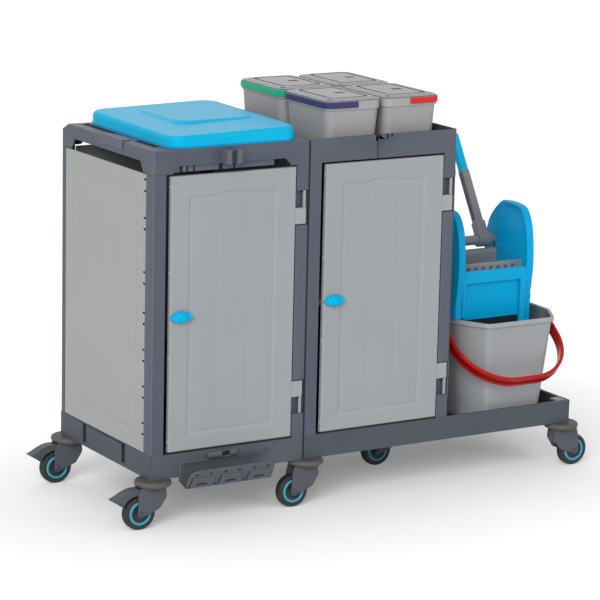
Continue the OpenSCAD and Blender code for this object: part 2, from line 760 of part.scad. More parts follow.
// smooth curve through the points p
function curve_at(p, i, t) = let (a = p[max(i - 1, 0)], b = p[i], c = p[i + 1], d = p[min(i + 2, len(p) - 1)])
    0.5 * (2 * b + (c - a) * t + (2 * a - 5 * b + 4 * c - d) * t * t + (3 * b - a - 3 * c + d) * t * t * t);
function curve(p) = concat([for (i = [0:len(p) - 2], k = [0:wing_cuts - 1]) curve_at(p, i, k / wing_cuts)],
    [p[len(p) - 1]]);
function unit(v) = v / norm(v);

wing_edge = curve(wing_points);
wing = concat(wing_edge, [[wr_y1, wr_z]]);
// the flange follows the front and top edge
flange_n = 6 * wing_cuts;
wing_back = [for (i = [flange_n:-1:0]) let (d = unit(wing_edge[i + 1] - wing_edge[max(i - 1, 0)]))
    wing_edge[i] + (i == 0 ? [wing_t, 0] : wing_t * [d[1], -d[0]])];
wing_front = [for (i = [0:flange_n]) wing_edge[i]];

module wringer_body() color(blue) difference() {
    union() {
        for (x = [wr_x0, wr_x1 - wing_t]) along_x(x, x + wing_t) polygon(wing);
        for (x = [wr_x0, wr_x1 - wing_flange])
            along_x(x, x + wing_flange) polygon(concat(wing_front, wing_back));
        box([wr_x0, wring_y + front_in, wr_z], [wr_x1, wr_y1, wr_z + wr_plate]);
        box([wr_x0 + 1, wring_y + front_in, wr_z], [wr_x1 - 1, wring_y + front_in + front_t, wr_z + panel_h]);
        box([wr_x0 + wing_flange + skirt_in, wring_y + front_in, wr_z - skirt_h],
            [wr_x1 - 1, wring_y + front_in + front_t, wr_z + 1]);
        box([wr_x0 + basket_in[0], wring_y + basket_in[1], wr_z - basket_depth],
            [wr_x1 - basket_in[2], wr_y1 - basket_in[3], wr_z + 1]);
    }
    box([wr_x0 + basket_in[0] + wr_wall, wring_y + basket_in[1] + wr_wall, wr_z - basket_depth + wr_wall],
        [wr_x1 - basket_in[2] - wr_wall, wr_y1 - basket_in[3] - wr_wall, wr_z + wr_plate + 1]);
    box([wr_x0 + wing_flange + 4, wring_y + front_in - 2, wr_z - skirt_h + 14],
        [wr_x1 - wing_flange - 4, wring_y + front_in + front_t / 2, wr_z + panel_h - panel_lip]);
    for (i = [0:4], j = [0:4])
        translate([wr_x0 + basket_in[0] + 24 + i * 34, wring_y + basket_in[1] + 24 + j * 28,
            wr_z - basket_depth - 1]) cylinder(h = wr_wall + 2, r = drain_r);
    rod_x(wr_x0 - 1, wr_x1 + 1, shaft_py, shaft_pz, shaft_r + run_gap);
}

lever_x = wr_x1 - lever_in;
collar_r = 23;
collar_l = 46;
neck_h = 52;

module on_lever() translate([lever_x, shaft_py, shaft_pz]) rotate([-lever_lean, 0, 0]) children();

module wringer_lever() color(grey) {
    rod_x(wr_x0, wr_x1, shaft_py, shaft_pz, shaft_r);
    rod_x(lever_x - collar_l / 2, lever_x + collar_l / 2, shaft_py, shaft_pz, collar_r);
    on_lever() cylinder(h = lever_l, r = shaft_r);
    on_lever() cylinder(h = neck_h, r = shaft_r + 3);
}

module lever_grip() color(blue) on_lever() difference() {
    union() {
        translate([0, 0, grip_from]) cylinder(h = lever_l + 14 - grip_from, r = grip_r);
        translate([0, 0, lever_l + 14]) scale([1, 1, 0.5]) sphere(grip_r);
    }
    translate([0, 0, grip_from - 1]) cylinder(h = lever_l + 1 - grip_from + seat_gap, r = shaft_r + tight_gap);
}

jaw_y1 = shaft_py + jaw_back;
jaw_z1 = shaft_pz - collar_r - 4;

module press_jaw() color(warm) along_x(wr_x0 + wing_t + run_gap, wr_x1 - wing_t - run_gap) union() {
    translate([jaw_y1 - jaw_t, jaw_z1 - jaw_h + jaw_t / 2]) square([jaw_t, jaw_h - jaw_t]);
    translate([jaw_y1 - jaw_t / 2, jaw_z1 - jaw_t / 2]) circle(jaw_t / 2);
    translate([jaw_y1 - jaw_t / 2, jaw_z1 - jaw_h + jaw_t / 2]) circle(jaw_t / 2);
}

module front_jaw() color(warm) difference() {
    box([wr_x0 + wing_t + seat_gap, wring_y + comb_in, wr_z + wr_plate],
        [wr_x1 - wing_t - seat_gap, wring_y + comb_in + comb_t, wr_z + panel_h + comb_up]);
    for (i = [0:7]) box([wr_x0 + wing_flange + comb_slot + i * comb_step, wring_y + comb_in - 1,
        wr_z + panel_h - comb_deep], [wr_x0 + wing_flange + 2 * comb_slot + i * comb_step,
        wring_y + comb_in + comb_t + 1, wr_z + panel_h]);
}

// Casters

tyre_t = 12;
shoulder_r = tyre_t / 2;
hub_r = wheel_r - tyre_t;
ring_r = hub_r - 2;
ring_w = 5;
ring_seat = 9;
boss_out = 2;
fork_gap = 2.5;
fork_top = 14;
crown_r = 27;
eye_r = 13;
leg_back = 32;
bridge_h = 8;
leg_in = wheel_w / 2 + fork_gap;
swivel_z = bumper_z - run_gap;
head_h = 7;
axle_head = 3;

// braked casters have legs wide enough for the pedal pin
function leg_top(i) = i < 2 ? pedal_u + 8 : 24;

module at_spot(i) translate([spots[i][1], spots[i][2], 0]) rotate([0, 0, spots[i][3]]) children();

module caster_bumpers() color(warm) for (i = [0:6]) at_spot(i) translate([0, 0, bumper_z])
    rotate_extrude($fn = 64) difference() {
        union() {
            translate([stem_r + tight_gap, 0]) square([bumper_r - bumper_h / 2 - stem_r, bumper_h]);
            translate([bumper_r - bumper_h / 2, bumper_h / 2]) circle(bumper_h / 2);
        }
        translate([bumper_r - 30, -1]) square([14, 7]);
    }

module caster_stems() color(steel) for (i = [0:6]) at_spot(i) {
    translate([0, 0, swivel_z - fork_top - run_gap])
        cylinder(h = base_z + stem_in - swivel_z + fork_top + run_gap, r = stem_r);
    translate([0, 0, swivel_z - fork_top - run_gap - head_h]) cylinder(h = head_h, r = stem_r + 4);
}

module fork(i) color(dark) at_spot(i) {
    difference() {
        union() {
            translate([0, 0, swivel_z - fork_top]) cylinder(h = fork_top, r = crown_r);
            for (v = [-leg_in - fork_t, leg_in]) along_y(v, v + fork_t) union() {
                polygon([[-leg_back, swivel_z], [leg_top(i), swivel_z], [leg_top(i) + 10, swivel_z - 24],
                    [trail + eye_r - 3, wheel_r + 8], [trail + 8, wheel_r - 9], [trail - 9, wheel_r - 9],
                    [-leg_back / 2, wheel_r + 22], [-leg_back - 4, swivel_z - 30]]);
                translate([trail, wheel_r]) circle(eye_r);
            }
            along_y(-leg_in - 1, leg_in + 1) polygon([[-leg_back, swivel_z], [-leg_back + 12, swivel_z],
                [-leg_back + 12, swivel_z - fork_top + 1], [-leg_back + 3, swivel_z - fork_top],
                [-leg_back + 1, swivel_z - 30], [-leg_back + 10, wheel_r + 28],
                [-leg_back + 7, wheel_r + 28], [-leg_back - 4, swivel_z - 30]]);
            box([-leg_back + 2, -leg_in - 1, swivel_z - bridge_h], [crown_r - 7, leg_in + 1, swivel_z]);
        }
        translate([0, 0, swivel_z - fork_top - 1]) cylinder(h = fork_top + 2, r = stem_r + run_gap);
        rod_y(trail, -leg_in - fork_t - 1, leg_in + fork_t + 1, wheel_r, axle_r + tight_gap);
        if (i < 2) rod_y(pedal_u, -leg_in - fork_t - 1, leg_in + fork_t + 1, pedal_z, pedal_pin_r + run_gap);
    }
    rod_y(trail, -leg_in - fork_t, leg_in + fork_t, wheel_r, axle_r);
    for (v = [-leg_in - fork_t - axle_head, leg_in + fork_t])
        rod_y(trail, v, v + axle_head, wheel_r, axle_r + 3);
}

module hub(i) color(dark) at_spot(i) translate([trail, 0, wheel_r]) rotate([90, 0, 0]) {
    rotate_extrude($fn = 64) difference() {
        union() {
            translate([axle_r + run_gap, -wheel_w / 2 + 3])
                square([hub_r - axle_r - run_gap - tight_gap, wheel_w - 6]);
            translate([axle_r + run_gap, -wheel_w / 2 - boss_out]) square([9, wheel_w + 2 * boss_out]);
            translate([hub_r - ring_seat, -wheel_w / 2 + 1]) square([ring_seat - tight_gap, wheel_w - 2]);
        }
        for (v = [-wheel_w / 2, wheel_w / 2 - 3]) translate([ring_r - ring_w, v]) square([ring_w, 3]);
    }
    color(blue) for (v = [-wheel_w / 2, wheel_w / 2 - 3]) rotate_extrude($fn = 64)
        translate([ring_r - ring_w, v]) square([ring_w, 3]);
}

module tyre(i) color(dark) at_spot(i) translate([trail, 0, wheel_r]) rotate([90, 0, 0])
rotate_extrude($fn = 64) union() {
    translate([hub_r, -wheel_w / 2]) square([tyre_t - shoulder_r, wheel_w]);
    translate([hub_r, -wheel_w / 2 + shoulder_r]) square([tyre_t, wheel_w - 2 * shoulder_r]);
    for (v = [-1, 1]) translate([wheel_r - shoulder_r, v * (wheel_w / 2 - shoulder_r)]) circle(shoulder_r);
}

pedal_u = 38;
pedal_z = swivel_z - 15;
pedal_pin_r = 3.5;
pedal_w = 2 * leg_in - 1.2;
pedal_travel = 10;
pedal_gap = 2;
pedal_eye = 6.5;
pedal_end = pedal_l - pedal_u;
// hood over the wheel, its upper and lower edge from the pedal pin
hood_top = curve([[-2, 6.2], [10, 11.3], [26, 12.8], [46, 9.8], [64, 2.8], [80, -5.7], [92, -11.2]]);
hood_low = [[88, -21.7], [76, -28.7], [66, -35.7], [59, -37.7], [22, -16], [0, -6.2]];

module pedal(i) color(dark) at_spot(i) {
    along_y(-pedal_w / 2, pedal_w / 2) translate([pedal_u, pedal_z]) difference() {
        union() {
            circle(pedal_eye);
            polygon(concat(hood_top, [[pedal_end, -12.2], [pedal_end, -15.7]], hood_low));
        }
        for (a = [0, pedal_travel]) rotate(a) translate([trail - pedal_u, wheel_r - pedal_z])
            circle(wheel_r + pedal_gap);
    }
    rod_y(pedal_u, -leg_in - fork_t, leg_in + fork_t, pedal_z, pedal_pin_r);
}

module brake_pedal_front_left() pedal(0);

module brake_pedal_rear_left() pedal(1);

// Tool holders

cradle_top = base_z + 45;
cradle_low = base_z - 25;
cradle_t = 4;
lip_top = base_z + 27;
lip_foot = 0.62;
lip_band = 22;
lip_gap = 22;
notch_gap = 14;
window_w = 52;
band_hole_r = 3.5;

hook_x = [186, 284];
hook_z = base_top - 2;
hook_t = 9;
strip_x = 394;

module tool_cradle() color(slate) {
    difference() {
        along_x(cradle_in, cradle_in + cradle_l) polygon([
            [0, cradle_top], [0, base_z - 12], [-cradle_reach * lip_foot, cradle_low], [-cradle_reach, lip_top],
            [-cradle_reach + cradle_t, lip_top + 1],
            [-cradle_reach * lip_foot + 1, cradle_low + cradle_t * 1.3],
            [-cradle_t, base_z - 12 + cradle_t], [-cradle_t, cradle_top]]);
        for (k = [0:3]) box([cradle_in + k * cradle_l / 3 - notch_gap / 2, -cradle_reach - 1, cradle_low - 1],
            [cradle_in + k * cradle_l / 3 + notch_gap / 2, -cradle_reach * 0.45, lip_top - lip_band]);
        for (k = [0:5]) rod_y(cradle_in + (k + 0.5) * cradle_l / 6, -cradle_reach - 1, -cradle_reach * 0.6,
            lip_top - lip_band / 2, band_hole_r);
        for (k = [0:2]) box([cradle_in + (k + 0.5) * cradle_l / 3 - window_w / 2, -cradle_reach,
            lip_top - lip_band - 16], [cradle_in + (k + 0.5) * cradle_l / 3 + window_w / 2,
            -cradle_reach * lip_foot + 8, lip_top - lip_band - 8]);
        for (k = [0:2], j = [-1:1]) translate([cradle_in + (k + 0.5) * cradle_l / 3 + j * lip_gap,
            -cradle_reach * 0.3, cradle_low - 5]) cylinder(h = 40, r = 4.5);
    }
    difference() {
        box([hook_x[0], -hook_t, cradle_top - 4], [hook_x[1], 0, hook_z]);
        box([(hook_x[0] + hook_x[1]) / 2 - 2, -hook_t - 1, cradle_top + 4],
            [(hook_x[0] + hook_x[1]) / 2 + 24, -hook_t + 5, hook_z - 6]);
    }
    box([hook_x[1] - 1, -cradle_t, cradle_top - 4], [strip_x, 0, cradle_top + 6]);
}

clip_w = 50;
clip_x = module_w / 2 - 16;
clip_d = 38;
clip_lift = 24;
clip_lo = post_top + clip_lift;
clip_hi = frame_top - 6;
saddle_y = [188, 326];
saddle_t = 4;
saddle_drop = 24;
saddle_w = 26;

module tool_clips() color(slate) {
    difference() {
        box([clip_x - clip_w / 2, -clip_d, clip_lo], [clip_x + clip_w / 2, 0, clip_hi]);
        translate([clip_x, -clip_d / 2 - 2, clip_lo - 1]) cylinder(h = clip_hi - clip_lo + 2, r = handle_r);
        box([clip_x - handle_r * 0.75, -clip_d - 1, clip_lo - 1],
            [clip_x + handle_r * 0.75, -clip_d / 2 - 2, clip_hi + 1]);
    }
    along_y(saddle_y[0], saddle_y[1]) polygon([
        [-saddle_t, frame_top - saddle_drop], [0, frame_top - saddle_drop], [0, frame_top],
        [saddle_w, frame_top], [saddle_w, frame_top + saddle_t], [-saddle_t, frame_top + saddle_t]]);
}

at_frame() {
    left_base();
    right_base();
    cabinet_posts();
    left_top_frame();
    right_top_tray();
    side_panels();
    back_panels();
    cabinet_shelf();
    bag_ring();
    tool_cradle();
    tool_clips();
    caster_bumpers();
    caster_stems();
    lid();
    left_door();
    right_door();
    left_latch();
    right_latch();
    for (i = [0:3]) {
        pail(i);
        pail_lid(i);
        pail_bail(i);
    }
    mop_bucket();
    mop_bail();
    wringer_body();
    wringer_lever();
    lever_grip();
    press_jaw();
    front_jaw();
    brake_pedal_front_left();
    brake_pedal_rear_left();
    for (i = [0:6]) {
        fork(i);
        hub(i);
        tyre(i);
    }
}
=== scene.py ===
import json
import math
import bpy
from mathutils import Matrix, Vector


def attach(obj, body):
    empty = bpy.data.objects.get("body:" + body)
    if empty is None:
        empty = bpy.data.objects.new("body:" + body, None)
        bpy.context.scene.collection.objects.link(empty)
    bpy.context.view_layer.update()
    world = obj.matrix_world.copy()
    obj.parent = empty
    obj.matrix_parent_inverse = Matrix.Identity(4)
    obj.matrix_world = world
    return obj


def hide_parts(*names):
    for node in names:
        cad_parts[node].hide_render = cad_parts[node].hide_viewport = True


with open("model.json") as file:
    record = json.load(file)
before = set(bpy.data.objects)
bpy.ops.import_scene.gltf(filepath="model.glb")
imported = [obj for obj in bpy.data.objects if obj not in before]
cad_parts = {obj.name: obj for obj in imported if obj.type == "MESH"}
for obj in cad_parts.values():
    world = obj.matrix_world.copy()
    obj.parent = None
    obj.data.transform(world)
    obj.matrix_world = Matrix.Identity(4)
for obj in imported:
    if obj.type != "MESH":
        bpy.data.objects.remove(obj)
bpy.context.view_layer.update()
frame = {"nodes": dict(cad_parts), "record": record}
solids = frame["nodes"]
record = frame["record"]
bodyOf = {node: body for body, nodes in record["behaviour"]["bodies"].items() for node in nodes}
scene = bpy.context.scene
scene.view_settings.view_transform = "Standard"
print("frame loaded,", len(solids), "solids")

mm = 0.001
cart = {"midX": 728, "midY": 272.5, "module": 516, "moduleWide": 515.4, "deep": 580}
modules = {"left": 0, "right": cart["module"]}  # where each cabinet module starts


def spot(x, y, z):  # cart millimetres, from the left front corner of the base, to the frame
    return Vector(((x - cart["midX"]) * mm, (y - cart["midY"]) * mm, z * mm))


# camera, light and floor

cameraSet = {"place": (-4.43272, -7.16734, 2.42408), "azimuth": 31.3309, "elevation": 12.4994,
             "roll": 1.31, "lens": 168.72, "sensor": 36, "reach": 200}
lightSet = {"sky": 0.42, "sun": 1.7, "sunAngle": 36, "sunTurn": (60, 0, -42), "aim": (0, 0, 0.6),
            "boxes": [((-3.4, -2.4, 1.9), 1.6, 22), ((2.2, -3.6, 1.6), 1.4, 16),
                      ((0.4, 2.6, 3.2), 2.4, 14)]}  # place, size and power of each soft box
# near and far set the floor's glow for camera rays; the weaker glow near the cart is painted shade on the
# floor
floorSet = {"size": 90, "tone": (0.9, 0.9, 0.9, 1), "near": 0.17, "far": 0.46, "reach": (0.85, 0.45),
            "span": (0.9, 2.8)}
white = (1, 1, 1, 1)


def setCamera():
    turn, fall, roll = (math.radians(cameraSet[key]) for key in ("azimuth", "elevation", "roll"))
    ahead = Vector((math.sin(turn) * math.cos(fall), math.cos(turn) * math.cos(fall), -math.sin(fall)))
    side = ahead.cross(Vector((0, 0, 1))).normalized()
    up = side.cross(ahead)
    right = side * math.cos(roll) + up * math.sin(roll)
    top = up * math.cos(roll) - side * math.sin(roll)
    bpy.ops.object.camera_add()
    camera = bpy.context.object
    turned = Matrix((right, top, -ahead)).transposed().to_4x4()
    camera.matrix_world = Matrix.Translation(cameraSet["place"]) @ turned
    camera.data.lens = cameraSet["lens"]
    camera.data.sensor_width = cameraSet["sensor"]
    camera.data.clip_end = cameraSet["reach"]
    scene.camera = camera


def setLights():
    bpy.ops.object.light_add(type="SUN", rotation=[math.radians(turn) for turn in lightSet["sunTurn"]])
    sun = bpy.context.object.data
    sun.energy = lightSet["sun"]
    sun.angle = math.radians(lightSet["sunAngle"])
    for place, size, power in lightSet["boxes"]:
        bpy.ops.object.light_add(type="AREA", location=place)
        box = bpy.context.object
        box.rotation_euler = (Vector(lightSet["aim"]) - Vector(place)).to_track_quat("-Z", "Y").to_euler()
        box.data.size = size
        box.data.energy = power


class Wire:  # a shader socket that can be used in sums
    def __init__(self, tree, socket=None):
        self.tree = tree
        self.socket = socket

    def node(self, kind, settings=None, sockets=None, out=0):
        made = self.tree.nodes.new(kind)
        for key, value in (settings or {}).items():
            setattr(made, key, value)
        for key, value in (sockets or {}).items():
            if isinstance(value, Wire):
                self.tree.links.new(value.socket, made.inputs[key])
            else:
                made.inputs[key].default_value = value
        return Wire(self.tree, made.outputs[out] if made.outputs else None)

    def maths(self, operation, first, second):
        return self.node("ShaderNodeMath", {"operation": operation}, {0: first, 1: second})

    def blend(self, first, second):
        return self.node("ShaderNodeMix", {"data_type": "RGBA"}, {0: self, 6: first, 7: second}, out=2)

    def between(self, low, high):
        return self.node("ShaderNodeMapRange", {}, {"Value": self, "From Min": low, "From Max": high})

    def noise(self, scale, detail=2.0):
        return self.node("ShaderNodeTexNoise", {}, {"Vector": self, "Scale": scale, "Detail": detail})

    def __add__(self, other):
        return self.maths("ADD", self, other)

    def __radd__(self, other):
        return self.maths("ADD", other, self)

    def __sub__(self, other):
        return self.maths("SUBTRACT", self, other)

    def __rsub__(self, other):
        return self.maths("SUBTRACT", other, self)

    def __mul__(self, other):
        return self.maths("MULTIPLY", self, other)

    def __rmul__(self, other):
        return self.maths("MULTIPLY", other, self)


def shaderStart(owner):
    owner.use_nodes = True
    owner.node_tree.nodes.clear()
    return Wire(owner.node_tree)


def seenRays(start):
    rays = [start.node("ShaderNodeLightPath", out=name)
            for name in ("Is Camera Ray", "Is Glossy Ray", "Is Transmission Ray")]
    return rays[0] + rays[1] + rays[2]


def setWorld():
    scene.world = bpy.data.worlds.new("studio")
    start = shaderStart(scene.world)
    sky = start.node("ShaderNodeBackground", {}, {"Color": white, "Strength": lightSet["sky"]})
    backdrop = start.node("ShaderNodeBackground", {}, {"Color": white, "Strength": 1.0})
    both = start.node("ShaderNodeMixShader", {}, {0: seenRays(start), 1: sky, 2: backdrop})
    start.node("ShaderNodeOutputWorld", {}, {"Surface": both})


def setFloor():
    bpy.ops.mesh.primitive_plane_add(size=floorSet["size"])
    floor = bpy.context.object
    finish = bpy.data.materials.new("white floor")
    start = shaderStart(finish)
    place = start.node("ShaderNodeTexCoord", out="Object")
    reach = [1 / side for side in floorSet["reach"]] + [1]
    spread = start.node("ShaderNodeMapping", {}, {"Vector": place, "Scale": reach})
    away = start.node("ShaderNodeVectorMath", {"operation": "LENGTH"}, {0: spread}, out="Value")
    # the glow grows with distance from the cart, so the floor around the cart is painted darker: painted
    # shade
    lift = floorSet["near"] + away.between(*floorSet["span"]) * (floorSet["far"] - floorSet["near"])
    matt = start.node("ShaderNodeBsdfDiffuse", {}, {"Color": floorSet["tone"]})
    glow = start.node("ShaderNodeEmission", {}, {"Color": white, "Strength": seenRays(start) * lift})
    both = start.node("ShaderNodeAddShader", {}, {0: matt, 1: glow})
    start.node("ShaderNodeOutputMaterial", {}, {"Surface": both})
    floor.data.materials.append(finish)


setCamera()
setLights()
setWorld()
setFloor()
print("camera, light and floor set")


# finishes

surface = {"cloud": (5.0, 4.0), "cloudSpan": (0.3, 0.7), "cloudRough": 0.1, "speck": (900.0, 1.0),
           "speckDeep": 0.0006, "scuff": (2.0, 5.0), "scuffStretch": (60.0, 60.0, 4.0),
           "scuffSpan": (0.62, 0.8), "scuffShare": 0.12, "scuffRough": 0.08, "edgeSpan": (0.5, 0.56),
           "pale": (0.72, 0.2), "dusty": (0.8, 0.06), "dust": 0.16, "dustSpan": (0.0, 0.24),
           "coatRough": 0.12}
zincSet = {"flake": 160.0, "dark": (0.5, 0.51, 0.52, 1), "light": (0.62, 0.62, 0.63, 1), "rough": 0.32,
           "flakeRough": 0.2}


def plastic(name, tone, rough, grain=0.05, drift=0.06, wearAndSheen=0.25, coat=0.0, gloss=0.26):
    s = surface
    finish = bpy.data.materials.new(name)
    start = shaderStart(finish)
    place = start.node("ShaderNodeTexCoord", out="Object")
    height = start.node("ShaderNodeSeparateXYZ", {}, {0: place}, out=2)
    edge = start.node("ShaderNodeNewGeometry", out="Pointiness").between(*s["edgeSpan"])
    cloud = place.noise(*s["cloud"])
    speck = place.noise(*s["speck"])
    stretched = start.node("ShaderNodeMapping", {}, {"Vector": place, "Scale": s["scuffStretch"]})
    scuff = stretched.noise(*s["scuff"]).between(*s["scuffSpan"])
    dark = [part * (1 - drift) for part in tone] + [1]
    light = [min(part * (1 + drift), 1) for part in tone] + [1]
    pale, dusty = ([part * keep + add for part in tone] + [1] for keep, add in (s["pale"], s["dusty"]))
    colour = cloud.between(*s["cloudSpan"]).blend(dark, light)
    # worn edges and scuffs turn pale; along convex edges the pale is also a painted highlight
    colour = (edge * wearAndSheen + scuff * (wearAndSheen * s["scuffShare"])).blend(colour, pale)
    colour = ((1 - height.between(*s["dustSpan"])) * s["dust"]).blend(colour, dusty)
    bump = start.node("ShaderNodeBump", {}, {"Strength": grain, "Distance": s["speckDeep"], "Height": speck})
    roughness = rough - s["cloudRough"] / 2 + cloud * s["cloudRough"] + scuff * s["scuffRough"]
    shader = start.node("ShaderNodeBsdfPrincipled", {}, {
        "Base Color": colour, "Roughness": roughness, "Normal": bump,
        "Coat Weight": coat, "Coat Roughness": s["coatRough"], "Specular IOR Level": gloss})
    start.node("ShaderNodeOutputMaterial", {}, {"Surface": shader})
    return finish


def zincSteel():
    s = zincSet
    finish = bpy.data.materials.new("zinc steel")
    start = shaderStart(finish)
    place = start.node("ShaderNodeTexCoord", out="Object")
    flake = start.node("ShaderNodeTexVoronoi", {}, {"Vector": place, "Scale": s["flake"]}, out="Distance")
    colour = flake.blend(s["dark"], s["light"])
    shader = start.node("ShaderNodeBsdfPrincipled", {}, {
        "Base Color": colour, "Metallic": 1.0, "Roughness": s["rough"] + flake * s["flakeRough"]})
    start.node("ShaderNodeOutputMaterial", {}, {"Surface": shader})
    return finish


finishes = {
    "slate": plastic("slate plastic", (0.066, 0.078, 0.11), 0.5),
    # tray: the slate plastic darkened, painted shade on the right top tray
    "tray": plastic("tray plastic in painted shade", (0.05, 0.06, 0.088), 0.5),
    "base": plastic("base plastic", (0.04, 0.05, 0.067), 0.5),
    # cradle: the lip plastic darkened, painted shade on the cradle's back plate, floor and rails
    "cradle": plastic("cradle plastic in painted shade", (0.024, 0.032, 0.046), 0.44, wearAndSheen=0.3),
    "lip": plastic("cradle lip plastic", (0.052, 0.062, 0.08), 0.42, wearAndSheen=0.4),
    "grey": plastic("grey plastic", (0.33, 0.345, 0.362), 0.46, drift=0.02, wearAndSheen=0.2),
    "side": plastic("side panel plastic", (0.355, 0.37, 0.362), 0.48, drift=0.02, wearAndSheen=0.2),
    "warm": plastic("bucket plastic", (0.345, 0.345, 0.355), 0.42, drift=0.03, wearAndSheen=0.2),
    # groove: near-black for the lid grooves, painted shade
    "groove": plastic("bucket lid groove in painted shade", (0.07, 0.07, 0.07), 0.5, drift=0.03, wearAndSheen=0.05),
    # inside: darker tone for the mop bucket's inside, painted shade
    "inside": plastic("bucket inside in painted shade", (0.15, 0.165, 0.185), 0.42, drift=0.03, wearAndSheen=0.1),
    "bumper": plastic("bumper plastic", (0.078, 0.073, 0.07), 0.55),
    "blue": plastic("blue plastic", (0.0, 0.45, 0.74), 0.32, drift=0.03, wearAndSheen=0.03, gloss=0.08),
    "wringer": plastic("wringer plastic", (0.0, 0.36, 0.68), 0.34, drift=0.04, wearAndSheen=0.03, gloss=0.08),
    "lever": plastic("lever plastic", (0.2, 0.206, 0.226), 0.45),
    "jaw": plastic("jaw plastic", (0.26, 0.262, 0.27), 0.45),
    "red": plastic("red plastic", (0.45, 0.005, 0.004), 0.24, drift=0.04, wearAndSheen=0.02, coat=0.12, gloss=0.1),
    # darker red for the groove in the mop bail: painted shade
    "redGrooveShade": plastic("red plastic in painted groove shade", (0.2, 0.004, 0.004), 0.3, drift=0.04, wearAndSheen=0.02, gloss=0.1),
    "tomato": plastic("red bail plastic", (0.66, 0.02, 0.015), 0.34, drift=0.03, wearAndSheen=0.04, gloss=0.14),
    "navy": plastic("navy plastic", (0.034, 0.037, 0.13), 0.36, drift=0.03, wearAndSheen=0.04, gloss=0.18),
    "green": plastic("green plastic", (0.0, 0.44, 0.23), 0.36, drift=0.03, wearAndSheen=0.03, gloss=0.14),
    "yellow": plastic("yellow plastic", (0.8, 0.52, 0.02), 0.35, drift=0.03, wearAndSheen=0.06, gloss=0.2),
    "fork": plastic("fork plastic", (0.052, 0.06, 0.076), 0.46),
    "hub": plastic("hub plastic", (0.024, 0.026, 0.03), 0.42),
    "ring": plastic("cyan ring", (0.02, 0.5, 0.7), 0.4, drift=0.04, wearAndSheen=0.1),
    "tyre": plastic("tyre rubber", (0.009, 0.008, 0.008), 0.62, grain=0.12, drift=0.12, wearAndSheen=0.1),
    # near-black for slots, holes, notches and gaps: painted shade
    "paintedShade": plastic("painted shade", (0.008, 0.009, 0.011), 0.7, wearAndSheen=0.02),
    "zinc": zincSteel()}
print("finishes made")


# making and dressing pieces

def pick(*pieces):
    bpy.ops.object.select_all(action="DESELECT")
    for piece in pieces:
        piece.select_set(True)
    bpy.context.view_layer.objects.active = pieces[0]


def enterEdit(piece, mode="VERT"):
    pick(piece)
    bpy.ops.object.mode_set(mode="EDIT")
    bpy.ops.mesh.select_mode(type=mode)
    bpy.ops.mesh.select_all(action="SELECT")


def leaveEdit():
    bpy.ops.mesh.select_all(action="SELECT")
    bpy.ops.mesh.normals_make_consistent(inside=False)
    bpy.ops.object.mode_set(mode="OBJECT")


def useModifier(piece, kind, settings):
    pick(piece)
    modifier = piece.modifiers.new(kind, kind)
    for key, value in settings.items():
        setattr(modifier, key, value)
    bpy.ops.object.modifier_apply(modifier=modifier.name)


def easeEdges(piece, width, segments=3, angle=32):
    useModifier(piece, "BEVEL", {"width": width, "segments": segments, "limit_method": "ANGLE",
                                 "angle_limit": math.radians(angle), "use_clamp_overlap": False})


def smooth(piece, angle=38):
    pick(piece)
    bpy.ops.object.shade_smooth_by_angle(angle=math.radians(angle))
    useModifier(piece, "WEIGHTED_NORMAL", {"keep_sharp": True})


def joined(pieces):
    pick(*pieces)
    bpy.ops.object.join()
    return pieces[0]


def paint(piece, finish):
    piece.data.materials.clear()
    piece.data.materials.append(finishes[finish])
    return piece


def dress(piece, node, *others):  # the piece stands for these nodes
    piece.name = node + "_look"
    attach(piece, bodyOf[node])
    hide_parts(node, *others)
    return piece


def trim(piece, name, node):  # a detail that rides with a node
    piece.name = name
    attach(piece, bodyOf[node])
    return piece


def put(piece, origin, along=(1, 0, 0), up=(0, 1, 0)):  # from drawing millimetres into the frame
    first, second = Vector(along), Vector(up)
    turned = Matrix((first, second, first.cross(second))).transposed().to_4x4()
    piece.data.transform(Matrix.Translation(spot(*origin)) @ turned @ Matrix.Scale(mm, 4))
    return piece


def cutAway(piece, cutter):  # the cut faces keep the cutter's finish
    useModifier(piece, "BOOLEAN", {"operation": "DIFFERENCE", "object": cutter, "solver": "EXACT",
                                   "material_mode": "TRANSFER"})
    bpy.data.objects.remove(cutter)


def boxForm(low, high):  # a box around the origin, and the middle where it belongs
    bpy.ops.mesh.primitive_cube_add(size=1)
    piece = bpy.context.object
    piece.data.transform(Matrix.Diagonal((*[b - a for a, b in zip(low, high)], 1)))
    return piece, [(a + b) / 2 for a, b in zip(low, high)]


def cutOut(piece, boxes, finish):  # boxes of two corners in cart millimetres, their faces in the finish
    cutters = []
    for low, high in boxes:
        cutter, middle = boxForm(low, high)
        put(cutter, middle)
        cutters.append(paint(cutter, finish))
    cutAway(piece, joined(cutters))


def solidCopy(node, finish):
    piece = bpy.data.objects.new(node, solids[node].data.copy())
    scene.collection.objects.link(piece)
    enterEdit(piece)
    bpy.ops.mesh.remove_doubles(threshold=0.00002)
    leaveEdit()
    bpy.ops.mesh.customdata_custom_splitnormals_clear()
    return paint(piece, finish)


def easedSolid(node, width, finish, segments=3, angle=32, cuts=(), extra=()):
    piece = solidCopy(node, finish)
    if cuts:
        # the cut faces take the near-black finish: painted shade inside the cuts
        cutOut(piece, cuts, "paintedShade")
    easeEdges(piece, width * mm, segments, angle)
    smooth(piece)
    return dress(joined([piece, *extra]), node)


def block(low, high, ease, finish):
    piece, middle = boxForm(low, high)
    easeEdges(piece, ease)
    put(piece, middle)
    smooth(piece)
    return paint(piece, finish)


